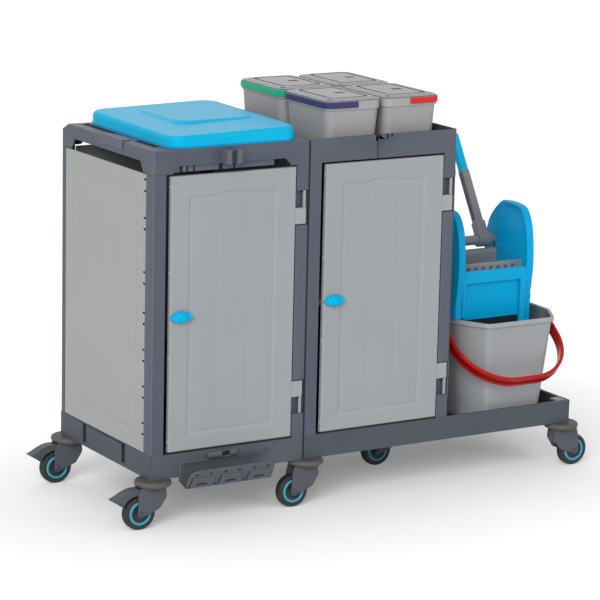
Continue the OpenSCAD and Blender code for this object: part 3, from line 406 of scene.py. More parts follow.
def roundedFace(halfX, halfY, radius, cuts=10):
    bpy.ops.mesh.primitive_plane_add(size=2)
    piece = bpy.context.object
    piece.data.transform(Matrix.Diagonal((halfX, halfY, 1, 1)))
    enterEdit(piece)
    bpy.ops.mesh.bevel(offset=radius, segments=cuts, affect="VERTICES")
    bpy.ops.mesh.select_all(action="SELECT")
    return piece


def roundCorners(corners, cuts=6):  # corners of (u, v, radius), anticlockwise
    outline = []
    for k, (u, v, radius) in enumerate(corners):
        here = Vector((u, v))
        if not radius:
            outline.append(here)
            continue
        before = (Vector(corners[k - 1][:2]) - here).normalized()
        after = (Vector(corners[(k + 1) % len(corners)][:2]) - here).normalized()
        half = before.angle(after) / 2
        middle = here + (before + after).normalized() * radius / math.sin(half)
        first = here + before * radius / math.tan(half) - middle
        last = here + after * radius / math.tan(half) - middle
        for j in range(cuts + 1):
            outline.append(middle + first.slerp(last, j / cuts) * radius)
    return outline


def boxOutline(u0, v0, u1, v1, radius=0):
    return roundCorners([(u0, v0, radius), (u1, v0, radius), (u1, v1, radius), (u0, v1, radius)])


def plate(outline, low, high, ease, finish, origin, along, up):  # a flat piece from its outline
    bpy.ops.mesh.primitive_circle_add(vertices=len(outline), fill_type="NGON")
    piece = bpy.context.object
    for vertex, (u, v) in zip(piece.data.vertices, outline):
        vertex.co = (u, v, low)
    enterEdit(piece)
    bpy.ops.mesh.extrude_region_move(TRANSFORM_OT_translate={"value": (0, 0, high - low)})
    leaveEdit()
    easeEdges(piece, ease)
    put(piece, origin, along, up)
    smooth(piece)
    return paint(piece, finish)


def discFace(radius, sides=64):
    bpy.ops.mesh.primitive_circle_add(vertices=sides, radius=radius, fill_type="NGON")
    piece = bpy.context.object
    enterEdit(piece)
    return piece


def ringForm(piece, halfX, halfY, rings, hollow=False):  # rings of (growth, height)
    grow, level = rings[0]
    centre = (0, 0, 0)
    widen = ((halfX + grow) / halfX, (halfY + grow) / halfY, 1)
    bpy.ops.transform.resize(value=widen, center_override=centre)
    bpy.ops.transform.translate(value=(0, 0, level))
    for nextGrow, nextLevel in rings[1:]:
        bpy.ops.mesh.extrude_region_move(TRANSFORM_OT_translate={"value": (0, 0, nextLevel - level)})
        widen = ((halfX + nextGrow) / (halfX + grow), (halfY + nextGrow) / (halfY + grow), 1)
        bpy.ops.transform.resize(value=widen, center_override=centre)
        grow, level = nextGrow, nextLevel
    if hollow:
        bpy.ops.object.mode_set(mode="OBJECT")
        for face in piece.data.polygons:
            face.select = len(face.vertices) > 4
        bpy.ops.object.mode_set(mode="EDIT")
        bpy.ops.mesh.select_mode(type="FACE")
        bpy.ops.mesh.delete(type="ONLY_FACE")
        bpy.ops.mesh.select_mode(type="EDGE")
        bpy.ops.mesh.select_non_manifold(extend=False)
        bpy.ops.mesh.bridge_edge_loops()
    leaveEdit()
    return piece


def roundForm(rings, sides=64, hollow=False):  # rings of (radius, height)
    first = rings[0][0]
    return ringForm(discFace(first, sides), first, first, [(r - first, z) for r, z in rings], hollow)


def rod(start, end, radius, finish, ease=1):
    length = (Vector(end) - Vector(start)).length
    rings = [(radius - ease, 0), (radius, ease), (radius, length - ease), (radius - ease, length)]
    piece = roundForm(rings, 32)
    ahead = (Vector(end) - Vector(start)).normalized()
    side = ahead.orthogonal().normalized()
    put(piece, start, side, ahead.cross(side))
    smooth(piece)
    return paint(piece, finish)


def ramp(low, high, value):  # smooth step
    share = min(max((value - low) / (high - low), 0), 1)
    return share * share * (3 - 2 * share)


print("tools ready")


# pressed panels: doors, side panels and back panels

press = {"rim": 3.5, "slope": 2.2, "step": 2.0, "stepFrom": -0.5, "stepTo": 4.5, "groove": 0.9,
         "grooveHalf": 4, "topEnd": 61, "topMiddle": 53, "bottom": 46, "archUp": (0.24, 0.42),
         "archDown": (0.58, 0.76), "crownSpan": (4, 18), "crownPower": 0.7, "return": 8}
doorSet = {"cell": 3.2, "crown": 0.9, "in": 57, "wide": 413, "low": 223, "high": 1033, "front": -2,
           "thick": 14, "wall": 4, "flutes": (60, 156, 258, 349), "hinge": 503.4, "hingeY": 7,
           "tabs": (341, 862), "tabHigh": 48, "tabY": (0.5, 11.5), "lap": 3, "knuckle": 6.5,
           "pinFree": 52, "pin": (3.4, 5.2), "beads": 7, "nubs": (1003, 754, 503, 253), "nubX": (-3.5, 1),
           "nubY": (1, 6), "nubHalf": 4, "shadeStripY": (0.5, 8), "shadeStripZ": (-5.2, 1)}
sideSet = {"cell": 4.4, "crown": 1.8, "front": 47, "back": 559, "low": 217, "high": 1036, "in": 1.5,
           "thick": 5, "flutes": (59, 212, 309, 455), "notches": (53, 162, 271, 380, 499, 657, 768),
           "pair": 33, "notchHigh": 6, "notchDeep": 13, "through": 20}
backSet = {"cell": 4.4, "crown": 1.4, "in": 43, "low": 217, "high": 1036, "thick": 5, "sunk": 1.5,
           "flutes": (60, 166, 262, 370)}


def pressDepth(wide, high, form):
    flutes = form["flutes"]
    left, right = flutes[0], wide - flutes[-1]

    def depth(u, v):
        share = (u - flutes[0]) / (flutes[-1] - flutes[0])
        arch = ramp(*press["archUp"], share) - ramp(*press["archDown"], share)
        top = press["topEnd"] + (press["topMiddle"] - press["topEnd"]) * arch
        into = min(u - left, wide - right - u, v - press["bottom"], high - top - v)
        border = min(u / left, (wide - u) / right, v / press["bottom"], (high - v) / top, 1)
        sunk = press["slope"] * border + press["step"] * ramp(press["stepFrom"], press["stepTo"], into)
        sunk += press["groove"] * max(1 - abs(into - press["stepTo"]) / press["grooveHalf"], 0)
        crown = 0
        for first, last in zip(flutes, flutes[1:]):
            if first < u < last:
                crown = math.sin(math.pi * (u - first) / (last - first)) ** press["crownPower"]
        return form["crown"] * crown * ramp(*press["crownSpan"], into) - sunk
    return depth


def pressedPanel(wide, high, form):
    rim = press["rim"]
    across, along = (round((size - 2 * rim) / form["cell"]) for size in (wide, high))
    bpy.ops.mesh.primitive_grid_add(x_subdivisions=across, y_subdivisions=along, size=2)
    piece = bpy.context.object
    depth = pressDepth(wide, high, form)
    for vertex in piece.data.vertices:
        u = rim + (vertex.co.x + 1) / 2 * (wide - 2 * rim)
        v = rim + (vertex.co.y + 1) / 2 * (high - 2 * rim)
        vertex.co = (u, v, depth(u, v))
    enterEdit(piece, "EDGE")
    bpy.ops.mesh.select_non_manifold(extend=False)
    centre = (wide / 2, high / 2, 0)
    edge, level, thick = rim, 0, form["thick"]
    turns = [math.pi / 8 * k for k in range(1, 5)]
    rings = [(rim * (1 - math.sin(a)), rim * (math.cos(a) - 1)) for a in turns] + [(0, -thick)]
    if "wall" in form:
        rings += [(form["wall"], -thick), (form["wall"], -thick + press["return"])]
    for nextEdge, nextLevel in rings:
        bpy.ops.mesh.extrude_edges_move(TRANSFORM_OT_translate={"value": (0, 0, nextLevel - level)})
        widen = ((wide - 2 * nextEdge) / (wide - 2 * edge), (high - 2 * nextEdge) / (high - 2 * edge), 1)
        bpy.ops.transform.resize(value=widen, center_override=centre)
        edge, level = nextEdge, nextLevel
    bpy.ops.mesh.edge_face_add()
    leaveEdit()
    return piece


def beadedPin(x, low, high):
    thin, full = doorSet["pin"]
    step = (high - low) / doorSet["beads"]
    rings = []
    for k in range(doorSet["beads"]):
        rings += [(thin, k * step), (full, (k + 0.25) * step), (full, (k + 0.75) * step)]
    piece = roundForm(rings + [(thin, high - low)], 20)
    put(piece, (x, doorSet["hingeY"], low))
    smooth(piece, 50)
    return paint(piece, "grey")


def makeDoor(node, x0):
    d = doorSet
    panel = pressedPanel(d["wide"], d["high"] - d["low"], d)
    start, hinge = x0 + d["in"], x0 + d["hinge"]
    edge = start + d["wide"]
    put(panel, (start, d["front"], d["low"]), (1, 0, 0), (0, 0, 1))
    smooth(panel, 40)
    parts = [paint(panel, "grey")]
    near, far = d["tabY"]
    for z in d["tabs"]:
        parts.append(block((edge - d["lap"], near, z), (hinge, far, z + d["tabHigh"]), 1.6, "grey"))
        ends = [(hinge, d["hingeY"], level) for level in (z, z + d["tabHigh"])]
        parts.append(rod(*ends, d["knuckle"], "grey"))
    low, high = d["tabs"][0], d["tabs"][1] + d["tabHigh"]
    parts.append(beadedPin(hinge, low - d["pinFree"], low))
    parts.append(beadedPin(hinge, high, high + d["pinFree"]))
    for z in d["nubs"]:
        corners = [(start + x, y, z + lift) for x, y, lift in
                   zip(d["nubX"], d["nubY"], (-d["nubHalf"], d["nubHalf"]))]
        parts.append(block(*corners, 1.4, "grey"))
    # a near-black block on the base behind the door's foot: painted shade in the gap
    near, far = d["shadeStripY"]  # the dark strip under the door
    low, high = (d["low"] + z for z in d["shadeStripZ"])
    parts.append(block((start + d["lap"], near, low), (edge - d["lap"], far, high), 0.3, "paintedShade"))
    dress(joined(parts), node)


def makeSidePanel():
    s = sideSet
    wide = s["back"] - s["front"]
    panel = paint(pressedPanel(wide, s["high"] - s["low"], s), "side")
    slots = []
    # notches in the panel's edge; their faces are painted near-black: painted shade
    for low in s["notches"]:
        for lift in (0, s["pair"]):
            bpy.ops.mesh.primitive_cube_add(size=2)
            slot = bpy.context.object
            turned = Matrix.Translation((wide, low + lift + s["notchHigh"] / 2, 0))
            sized = Matrix.Diagonal((s["notchDeep"], s["notchHigh"] / 2, s["through"], 1))
            slot.data.transform(turned @ sized)
            slots.append(paint(slot, "paintedShade"))
    cutAway(panel, joined(slots))
    return panel


def makeSidePanels():
    s = sideSet
    parts = []
    for x0 in modules.values():
        left = makeSidePanel()
        put(left, (x0 + s["in"], s["back"], s["low"]), (0, -1, 0), (0, 0, 1))
        right = makeSidePanel()
        mirrored = Matrix.Scale(-1, 4, (1, 0, 0))
        right.data.transform(Matrix.Translation((s["back"] - s["front"], 0, 0)) @ mirrored)
        right.data.flip_normals()
        put(right, (x0 + cart["moduleWide"] - s["in"], s["front"], s["low"]), (0, 1, 0), (0, 0, 1))
        parts += [left, right]
    for part in parts:
        smooth(part, 40)
    dress(joined(parts), "side_panels")


def makeBackPanels():
    b = backSet
    wide = cart["moduleWide"] - 2 * b["in"]
    parts = []
    for x0 in modules.values():
        panel = pressedPanel(wide, b["high"] - b["low"], b)
        put(panel, (x0 + b["in"] + wide, cart["deep"] - b["sunk"], b["low"]), (-1, 0, 0), (0, 0, 1))
        smooth(panel, 40)
        parts.append(paint(panel, "side"))
    dress(joined(parts), "back_panels")


for side, start in modules.items():
    makeDoor(side + "_door", start)
makeSidePanels()
makeBackPanels()
print("panels made")


# frame mouldings

# rails, railMarks, trayNotches and baseSlots are cuts whose faces are painted near-black; seamShade is a
# near-black strip: painted shade
frameSet = {"rails": [((36, 64, 1105.6), (57, 186, 1112)), ((36, 328, 1105.6), (57, 520, 1112))],
            "railMarks": [((x, 3, 1042), (x + wide, 7, 1063))
                          for x, wide in ((86, 9), (108, 5), (131, 4), (214, 12), (262, 5))],
            "trayNotches": [((x, -1, 1109 - high), (x + 5, 2.5, 1112))
                            for x, high in ((744, 15), (755, 9), (781, 13), (797, 8))],
            "baseSlots": [((-1, y - 11, 157), (4.5, y + 11, 213)) for y in (171, 422)],
            "seamShade": ((512.8, 0.3, 150), (518.6, 4, 1107)),
            "hingeWalls": [((x + 512.8, 1.6, low), (x + cart["moduleWide"], 16.5, high))
                           for x in modules.values() for low, high in ((286, 395), (856, 965))],
            "cornerCaps": [((1456, y, 211), (1498.5, y + 48.5, 216.8)) for y in (1.5, 530)]}

easedSolid("left_base", 2.2, "base", cuts=frameSet["baseSlots"])
easedSolid("right_base", 2.2, "base")
easedSolid("cabinet_posts", 2.0, "slate")
easedSolid("left_top_frame", 2.2, "slate", cuts=frameSet["rails"] + frameSet["railMarks"])
easedSolid("right_top_tray", 2.2, "tray", cuts=frameSet["trayNotches"])
easedSolid("cabinet_shelf", 1.5, "grey")
easedSolid("bag_ring", 1.2, "wringer")
easedSolid("tool_clips", 1.2, "slate")
easedSolid("caster_bumpers", 2.5, "bumper")
easedSolid("caster_stems", 0.4, "zinc", 2)
# a near-black strip at the bottom of the seam between the modules: painted shade
trim(block(*frameSet["seamShade"], 0.3, "paintedShade"), "module_seam_shade", "cabinet_posts")
hingeWalls = [block(*box, 0.6, "slate") for box in frameSet["hingeWalls"]]
trim(joined(hingeWalls), "hinge_pocket_walls", "cabinet_posts")
cornerCaps = [block(*box, 1.2, "lever") for box in frameSet["cornerCaps"]]
trim(joined(cornerCaps), "platform_corner_caps", "right_base")
print("frame mouldings made")


# tool cradle on the left base

cradleSet = {"x": (93, 380), "plate": (133, 190), "fold": (-2, 133), "foot": (-44.6, 120), "lip": (-72, 177),
             "thick": 4, "bead": 4, "corners": (9, 18), "innerCorners": (7, 15), "lipCorners": (14, 30),
             "tabs": 3, "notch": 14, "notchTop": 13, "pad": (10, 1.5, 87, 37), "padThick": 2.5,
             "padLean": (6, 4), "padCorners": (2, 5), "shade": (4, 4), "slot": (30, 12, 66, 18),
             "dots": (26, 72), "dotLevel": 49, "dotRadius": 4, "hook": (186, 233, 259, 284), "hookY": -2,
             "hookLevel": 200, "hookRadius": 12, "gapLap": 4, "gapHalf": 10, "gapFront": -4,
             "railLap": 6, "rails": (-9, 10), "railHalf": 3, "railFront": -9,
             "strip": ((283, -4, 187), (394, 0, 196))}


# the shaded side, the slot and the dots are near-black plates: painted shade
def cradleTab(shift, place, along, rise):  # a pad with its shaded side, a slot and two dots
    s = cradleSet
    front = s["padThick"]
    u0, v0, u1, v1 = s["pad"]
    leanIn, leanOut = s["padLean"]
    below, above = s["padCorners"]
    pad = roundCorners([(shift + u0, v0, below), (shift + u1, v0, below), (shift + u1 - leanOut, v1, above),
                        (shift + u0 + leanIn, v1, above)])
    parts = [plate(pad, -1, front, 1.0, "lip", place, along, rise)]
    out, under = s["shade"]
    side = [(shift + u0 - out, v0), (shift + u0 + under, v0), (shift + u0 + leanIn + under, v1),
            (shift + u0 + leanIn - out, v1)]
    parts.append(plate(side, -1, 0.2, 0.05, "paintedShade", place, along, rise))
    first, low, last, high = s["slot"]
    slot = boxOutline(shift + first, low, shift + last, high, 2)
    parts.append(plate(slot, 0, front + 0.15, 0.05, "paintedShade", place, along, rise))
    level, radius = s["dotLevel"], s["dotRadius"]
    for u in s["dots"]:
        u += shift
        dot = boxOutline(u - radius, level - radius, u + radius, level + radius, radius * 0.9)
        parts.append(plate(dot, -1, 0.15, 0.05, "paintedShade", place, along, rise))
    return parts


def cradleHook():
    s = cradleSet
    outer, first, second, end = s["hook"]
    y, z, radius = s["hookY"], s["hookLevel"], s["hookRadius"]
    parts = [rod((a, y, z), (b, y, z), radius, "base", 3) for a, b in ((outer, first), (second, end))]
    lap, half = s["gapLap"], s["gapHalf"]
    # a near-black block in the hook's gap: painted shade
    parts.append(block((first - lap, s["gapFront"], z - half), (second + lap, 0, z + half), 0.3, "paintedShade"))
    lap, half = s["railLap"], s["railHalf"]
    for level in s["rails"]:
        low, high = z + level - half, z + level + half
        parts.append(block((first - lap, s["railFront"], low), (second + lap, 0, high), 1.4, "cradle"))
    parts.append(block(*s["strip"], 1.4, "cradle"))
    return parts


def makeCradle():
    s = cradleSet
    left, right = s["x"]
    long, thick = right - left, s["thick"]
    along, level = (1, 0, 0), (0, 0, 1)
    low, high = s["plate"]
    bead, top = s["bead"], high - low
    first, last = s["corners"]
    # the lighter back plate shows as a border around the darker inner plate: a painted highlight along the
    # edge and painted shade on the plate
    back = roundCorners([(0, 0, 0), (long, 0, 0), (long, top, first), (0, top, last)])
    first, last = s["innerCorners"]
    inner = roundCorners([(bead, 0, 0), (long - bead, 0, 0), (long - bead, top - bead, first),
                          (bead, top - bead, last)])
    parts = [plate(back, 0, thick, 1.2, "lip", (left, 0, low), along, level),
             plate(inner, thick - 1, thick + 0.4, 0.2, "cradle", (left, 0, low), along, level)]

    fold, foot, lip = (Vector((0, *s[key])) for key in ("fold", "foot", "lip"))
    down = (foot - fold).normalized()
    floor = boxOutline(0, 0, long, (foot - fold).length)
    # the floor in the darker cradle finish: painted shade in the trough
    parts.append(plate(floor, -thick, 0, 0.8, "cradle", (left, *fold.yz), along, down))

    rise = (lip - foot).normalized()
    high, step, cut = (lip - foot).length, long / s["tabs"], s["notch"] / 2
    sheet = []
    for k in range(s["tabs"]):
        sheet += [(k * step, s["notchTop"], 0), (k * step + cut, 0, 0), ((k + 1) * step - cut, 0, 0)]
    first, last = s["lipCorners"]
    sheet += [(long, s["notchTop"], 0), (long, high, first), (0, high, last)]
    place = (left, *foot.yz)
    parts.append(plate(roundCorners(sheet), -thick, 0, 1.2, "lip", place, along, rise))
    for k in range(s["tabs"]):
        parts += cradleTab(k * step, place, along, rise)
    dress(joined(parts + cradleHook()), "tool_cradle")


makeCradle()
print("tool cradle made")


# waste lid

lidSet = {"x": (60, 484), "y": (6, 536), "radius": 46, "foot": 1114.2, "top": 1144.2, "wall": 4,
          "riseX": 8, "riseY": 7, "plateau": ((162, 163), (452, 466)), "plateauTop": 1158,
          "plateauRadius": 46, "ears": (120, 360), "axis": (546, 1124), "pin": (2, 22), "ear": (20.5, 38)}


def makeLid():
    s = lidSet
    halfX, halfY = ((s[key][1] - s[key][0]) / 2 for key in "xy")
    middle = (s["x"][0] + halfX, s["y"][0] + halfY, 0)
    foot, top = s["foot"], s["top"]
    wall = s["wall"]
    # from the inside, around the foot and up to the top
    rings = [(-wall - 2, top - wall), (-wall, top - wall - 4), (-wall, foot + 1), (-wall + 1, foot),
             (-0.8, foot), (0, foot + 0.8), (0, foot + 5), (-1.2, foot + 6.5), (-1.4, top - 11),
             (-2.4, top - 6.5), (-5, top - 2.8), (-9, top - 0.7), (-14, top), (-60, top + 0.6)]
    shell = ringForm(roundedFace(halfX, halfY, s["radius"], 12), halfX, halfY, rings)
    for vertex in shell.data.vertices:  # the top rises to the right and to the back
        share = min(max((vertex.co.z - foot - 6) / (top - foot - 6), 0), 1)
        across = (vertex.co.x + halfX) / (2 * halfX)
        back = (vertex.co.y + halfY) / (2 * halfY)
        vertex.co.z += share * (s["riseX"] * across + s["riseY"] * back)
    put(shell, middle)
    smooth(shell, 40)
    low, high = s["plateau"]
    halfX, halfY = (high[0] - low[0]) / 2, (high[1] - low[1]) / 2
    steps = [(3, top - 4), (0, top + 1), (-19, s["plateauTop"] - 1.4), (-23, s["plateauTop"] - 0.3),
             (-29, s["plateauTop"])]
    plateau = ringForm(roundedFace(halfX, halfY, s["plateauRadius"], 8), halfX, halfY, steps)
    put(plateau, (low[0] + halfX, low[1] + halfY, 0))
    smooth(plateau, 40)
    parts = [shell, plateau]
    axisY, axisZ = s["axis"]
    for x in s["ears"]:
        pin, ear = ([s["x"][0] + x + part for part in s[key]] for key in ("pin", "ear"))
        parts.append(rod((pin[0], axisY, axisZ), (pin[1], axisY, axisZ), 4, "blue", 0.5))
        parts.append(rod((ear[0], axisY, axisZ), (ear[1], axisY, axisZ), 6, "blue"))
        parts.append(block((ear[0], s["y"][1] - 3, axisZ - 5), (ear[1], axisY, axisZ + 5), 1.5, "blue"))
    for part in parts:
        paint(part, "blue")
    dress(joined(parts), "lid")


latchSet = {"in": 92, "level": 623, "front": -11, "boss": -15.2, "flat": 0.84, "bossShare": 0.64,
            "sweep": 0.16, "flatFrom": 12}


def makeLatch(node, x0):
    s = latchSet
    piece = easedSolid(node, 1.3, "blue", 4, 40)
    centre = spot(x0 + s["in"], 0, s["level"])
    front, boss = (spot(0, s[key], 0).y for key in ("front", "boss"))
    for vertex in piece.data.vertices:  # a smaller boss, and thinner wings that sweep back
        out = vertex.co - centre
        if vertex.co.y < boss:
            vertex.co.x = centre.x + out.x * s["bossShare"]
            vertex.co.z = centre.z + out.z * s["bossShare"]
        elif vertex.co.y < front:
            vertex.co.z = centre.z + out.z * s["flat"]
            vertex.co.y += s["sweep"] * max(abs(out.x) - s["flatFrom"] * mm, 0)


makeLid()
for side, start in modules.items():
    makeLatch(side + "_latch", start)
print("lid and latches made")


# small buckets

pailSet = {"half": (95.5, 126), "radius": 26, "left": 594.7, "pitchX": 203, "front": 37.5, "pitchY": 269,
           "foot": 1070.2, "high": 138, "taper": 8, "rim": 2, "wall": 2.5, "band": 26, "lid": 7, "sunk": 2.4,
           "hole": ((6, -10, 4), (38, 8)), "slot": ((-42, -4, 4), (-12, 8))}
# column, row and the colour of the bail
pailSpots = {"front_left": (0, 0, "navy"), "front_right": (1, 0, "tomato"),
             "rear_left": (0, 1, "green"), "rear_right": (1, 1, "yellow")}


def pailMiddle(column, row):
    halfX, halfY = pailSet["half"]
    return (pailSet["left"] + halfX + column * pailSet["pitchX"],
            pailSet["front"] + halfY + row * pailSet["pitchY"], pailSet["foot"])


def makePail(name, column, row):
    s = pailSet
    halfX, halfY = s["half"]
    high, inner = s["high"], -s["rim"] - s["wall"]
    under = high - s["band"]
    foot = -s["rim"] - s["taper"]
    # from the inside floor, over the rim and down to the foot
    rings = [(inner - s["taper"] - 3, s["wall"]), (inner - s["taper"], s["wall"] + 4), (inner, high - 1),
             (inner + 0.7, high), (-1, high), (0, high - 1), (0, under + 1), (-0.8, under),
             (-s["rim"] - s["taper"] * s["band"] / high, under - 0.6), (foot + 0.8, 12),
             (foot + 0.1, 7), (foot - 1.8, 2.6), (foot - 6, 0.4), (foot - 9, 0)]
    piece = ringForm(roundedFace(halfX, halfY, s["radius"]), halfX, halfY, rings)
    put(piece, pailMiddle(column, row))
    smooth(piece, 40)
    dress(paint(piece, "warm"), "bucket_" + name)


def makePailLid(name, column, row):
    s = pailSet
    halfX, halfY = s["half"]
    x, y, z = pailMiddle(column, row)
    z += s["high"] + 0.2
    top = s["lid"]
    floor = top - s["sunk"]
    # from below, over the edge and through the groove to the middle
    rings = [(-8, -3.5), (-7, -3.5), (-6.6, 1.4), (-0.6, 1.4), (0, 1.9), (0, 3), (-1, 3.9), (-11.5, 4),
             (-12.6, top - 0.8), (-14, top), (-26.5, top), (-27.5, floor), (-34.5, floor), (-35.5, top)]
    piece = ringForm(roundedFace(halfX, halfY, s["radius"]), halfX, halfY, rings)
    paint(piece, "warm")
    piece.data.materials.append(finishes["groove"])
    # the groove floor takes the near-black finish: painted shade in the groove
    for face in piece.data.polygons:
        sunk = floor - 0.05 < face.center.z < top - 0.5
        if sunk and abs(face.center.x) < halfX - 15 and abs(face.center.y) < halfY - 15:
            face.material_index = 1
    put(piece, (x, y, z))
    smooth(piece, 40)
    parts = [piece]
    # the hole is a near-black block, painted shade; the slot is grey
    for key, finish in (("hole", "paintedShade"), ("slot", "grey")):
        (u0, v0, w0), (u1, v1) = s[key]
        parts.append(block((x + u0, y + v0, z + w0), (x + u1, y + v1, z + top + 0.2), 0.1, finish))
    dress(joined(parts), "bucket_lid_" + name)


for name, (column, row, colour) in pailSpots.items():
    makePail(name, column, row)
    makePailLid(name, column, row)
    easedSolid("bucket_bail_" + name, 1.4, colour)
print("small buckets made")


# mop bucket, its bail and the wringer

mopSet = {"middle": (1304, 181, 165.2), "half": (182, 175), "cut": (58, 105), "crease": 16, "high": 325,
          "taper": 32, "flange": 9, "wall": 3, "lip": 13, "crest": 122, "pivot": 307, "lugRadius": 14,
          "lug": (-8, 4)}


def octagonFace(halfX, halfY, cutX, cutY, crease):
    squash = cutX / cutY
    bpy.ops.mesh.primitive_plane_add(size=2)
    piece = bpy.context.object
    piece.data.transform(Matrix.Diagonal((halfX, halfY * squash, 1, 1)))
    enterEdit(piece)
    bpy.ops.mesh.bevel(offset=cutX, segments=1, affect="VERTICES")
    bpy.ops.mesh.select_all(action="SELECT")
    bpy.ops.transform.resize(value=(1, 1 / squash, 1), center_override=(0, 0, 0))
    bpy.ops.mesh.bevel(offset=crease, segments=5, affect="VERTICES")
    bpy.ops.mesh.select_all(action="SELECT")
    return piece


def makeMopBucket():
    s = mopSet
    halfX, halfY = s["half"]
    high, inner = s["high"], -s["flange"]
    outer = inner + s["wall"]
    foot, under = outer - s["taper"], high - s["lip"]
    # from the inside floor, over the rim and down to the foot
    rings = [(inner - s["taper"] - 4, s["wall"]), (inner - s["taper"], s["wall"] + 6), (inner, high - 3),
             (inner + 2, high - 0.6), (inner + 4, high), (-2, high), (-0.5, high - 0.7), (0, high - 2),
             (0, under), (-0.7, under - 1), (outer + 0.6, under - 1.6),
             (outer - s["taper"] * 0.05, under - 6),
             (outer - s["taper"] * 0.62, s["crest"] + 2), (outer - s["taper"] * 0.625, s["crest"]),
             (foot + 1, 14), (foot - 0.6, 7), (foot - 4, 2), (foot - 10, 0)]
    piece = ringForm(octagonFace(halfX, halfY, *s["cut"], s["crease"]), halfX, halfY, rings)
    put(piece, s["middle"])
    smooth(piece, 30)
    x, y, z = s["middle"]
    paint(piece, "grey")
    piece.data.materials.append(finishes["inside"])
    centre = spot(*s["middle"])
    # faces inside the bucket below the rim take the darker finish: painted shade
    for face in piece.data.polygons:
        out = face.center - centre
        deep = face.center.z < (z + high - 2) * mm
        if deep and (out.x * face.normal.x + out.y * face.normal.y < 0 or face.normal.z > 0.9):
            face.material_index = 1
    parts = [piece]
    for side in (-1, 1):
        ends = [(x + side * (halfX + reach), y, z + s["pivot"]) for reach in s["lug"]]
        parts.append(rod(*ends, s["lugRadius"], "grey"))
    dress(joined(parts), "mop_bucket")


makeMopBucket()

bailSet = {"pivot": (1304, 181, 472.2), "rest": 38, "middle": 110, "ease": 3.2, "groove": 7, "deep": 2,
           "from": 24, "trim": ((1090, 100, 480), (1520, 260, 520))}


def makeMopBail():
    s = bailSet
    piece = solidCopy("mop_bail", "red")
    cutOut(piece, [s["trim"]], "red")
    easeEdges(piece, s["ease"] * mm, 4, 40)
    turn = math.radians(s["rest"])
    across = Vector((0, -math.sin(turn), math.cos(turn)))
    along = Vector((0, -math.cos(turn), -math.sin(turn)))
    pivot = spot(*s["pivot"])
    for side in (-1, 1):  # the two edges of the groove around the outside
        enterEdit(piece)
        bpy.ops.mesh.bisect(plane_co=pivot + across * side * s["groove"] * mm, plane_no=across)
        leaveEdit()
    enterEdit(piece, "FACE")
    bpy.ops.mesh.select_all(action="DESELECT")
    bpy.ops.object.mode_set(mode="OBJECT")
    # the groove's faces take the darker red: painted shade in the groove
    piece.data.materials.append(finishes["redGrooveShade"])
    centre = pivot + along * s["middle"] * mm
    for face in piece.data.polygons:
        out = face.center - pivot
        within = abs(out.dot(across)) < s["groove"] * mm and abs(face.normal.dot(across)) < 0.2
        outer = face.normal.dot(face.center - centre) > 0 and face.normal.dot(along) > -0.6
        face.select = within and outer and out.dot(along) > s["from"] * mm
        if face.select:
            face.material_index = len(piece.data.materials) - 1
    bpy.ops.object.mode_set(mode="EDIT")
    bpy.ops.mesh.extrude_region_shrink_fatten(TRANSFORM_OT_shrink_fatten={"value": -s["deep"] * mm})
    leaveEdit()
    smooth(piece)
    dress(piece, "mop_bail")


makeMopBail()

# the gap box is cut into the wringer's front panel, its faces painted near-black: painted shade under the
# panel
wringerSet = {"frame": [((1140, 94, 601), (1378, 102, 639.2)), ((1357, 94, 462), (1378, 102, 605)),
                        ((1140, 94, 497), (1150, 102, 605))],
              "gap": [((1150, 99, 440), (1357, 107, 484))]}
easedSolid("wringer_body", 2.4, "wringer", 3, 40, wringerSet["gap"],
           extra=[block(*box, 2, "wringer") for box in wringerSet["frame"]])
easedSolid("front_jaw", 1.0, "jaw")
easedSolid("press_jaw", 2.0, "jaw")

leverSet = {"axis": (300, 690.4), "shaft": (1146, 1372), "shaftRadius": 15.5, "x": 1350, "lean": 31,
            "tube": (13.6, 20, 236), "knuckle": (17, 14, 60), "shadedSide": (66, 228), "shadedSideHalf": 8}


def leverParts():
    s = leverSet
    lean = math.radians(s["lean"])
    ahead, front = (0, math.sin(lean), math.cos(lean)), (0, -math.cos(lean), math.sin(lean))
    place = (s["x"], *s["axis"])
    ends = [(x, *s["axis"]) for x in s["shaft"]]
    parts = [rod(*ends, s["shaftRadius"], "lever", 2)]
    for half, low, high in (s["tube"], s["knuckle"]):
        outline = boxOutline(-half, low, half, high)
        parts.append(plate(outline, -half, half, 3, "lever", place, (1, 0, 0), ahead))
    # a dark plate in the bumper finish on the lever's left face: painted shade on that side
    low, high = s["shadedSide"]
    half = s["tube"][0]
    groove = boxOutline(low, -s["shadedSideHalf"], high, s["shadedSideHalf"], 3)
    parts.append(plate(groove, -half - 0.3, -half + 1, 0.1, "bumper", place, ahead, front))
    return parts


easedSolid("wringer_lever", 1.5, "lever", extra=leverParts())
easedSolid("lever_grip", 1.5, "blue")
print("mop bucket and wringer made")


# casters

wheelSet = {"radius": 50, "trail": 46, "bore": 38.2, "bands": ((28.4, 0.7), (32.8, 1.9)), "bandOut": 13.1,
            "hub": [(8, -15.6), (9, -14.8), (9.4, -9.5), (12, -8.8), (26, -8.4), (27.6, -9.4), (28, -12.4),
                    (28.8, -13), (36.6, -13), (37.6, -12)]}
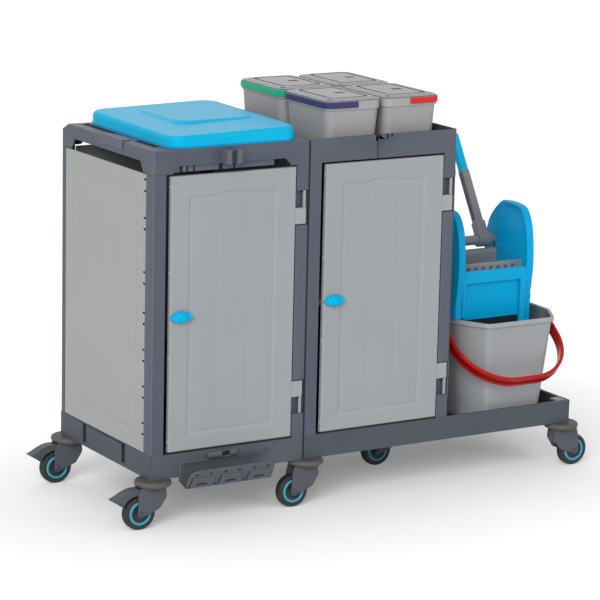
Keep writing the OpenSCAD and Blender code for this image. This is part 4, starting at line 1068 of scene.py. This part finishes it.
# the stem's place and the way the wheel trails
casterSpots = {"front_left": (18, 18, -1), "rear_left": (18, 562, -1), "front_middle": (534, 18, -1),
               "rear_middle": (534, 562, -1), "centre": (1006, 290, -1), "front_right": (1478, 18, 1),
               "rear_right": (1478, 562, 1)}


def mirrorRings(rings):
    return rings + [(radius, -level) for radius, level in reversed(rings)]


def makeWheel(name, x, y, way):
    s = wheelSet
    axle = (x + way * s["trail"], y, s["radius"])
    outer = s["radius"]
    tyre = roundForm(mirrorRings([(s["bore"], -13.2), (outer - 7, -14.6), (outer - 3.2, -13.4),
                                  (outer - 0.9, -10.4), (outer, -6.5), (outer, -2.2)]), 96, True)
    put(tyre, axle, (1, 0, 0), (0, 0, 1))
    smooth(tyre, 40)
    dress(paint(tyre, "tyre"), "tyre_" + name)
    hub = roundForm(mirrorRings(s["hub"]), 64)
    put(hub, axle, (1, 0, 0), (0, 0, 1))
    smooth(hub, 40)
    parts = [paint(hub, "hub")]
    for side in (-1, 1):
        for major, minor in s["bands"]:
            bpy.ops.mesh.primitive_torus_add(major_radius=major, minor_radius=minor,
                                             major_segments=64, minor_segments=10)
            band = bpy.context.object
            band.data.transform(Matrix.Translation((0, 0, side * s["bandOut"])))
            put(band, axle, (1, 0, 0), (0, 0, 1))
            smooth(band, 60)
            parts.append(paint(band, "ring"))
    dress(joined(parts), "hub_" + name)


forkSet = {"leg": (17.4, 22.3),
           "outline": [(-32, 126), (47, 126), (54, 104), (57.5, 62), (55, 46), (46, 39.5), (32, 43),
                       (10, 51), (-14, 61), (-31, 86), (-36, 97)]}


def forkLegs(x, y, way):
    low, high = forkSet["leg"]
    return [plate(forkSet["outline"], near, far, 1.1, "fork", (x, y, 0), (way, 0, 0), (0, 0, 1))
            for near, far in ((low, high), (-high, -low))]


for name, (x, y, way) in casterSpots.items():
    makeWheel(name, x, y, way)
    easedSolid("fork_" + name, 0.7, "fork", extra=forkLegs(x, y, way))
for name in ("front_left", "rear_left"):
    easedSolid("brake_pedal_" + name, 2.0, "fork")
print("casters made")
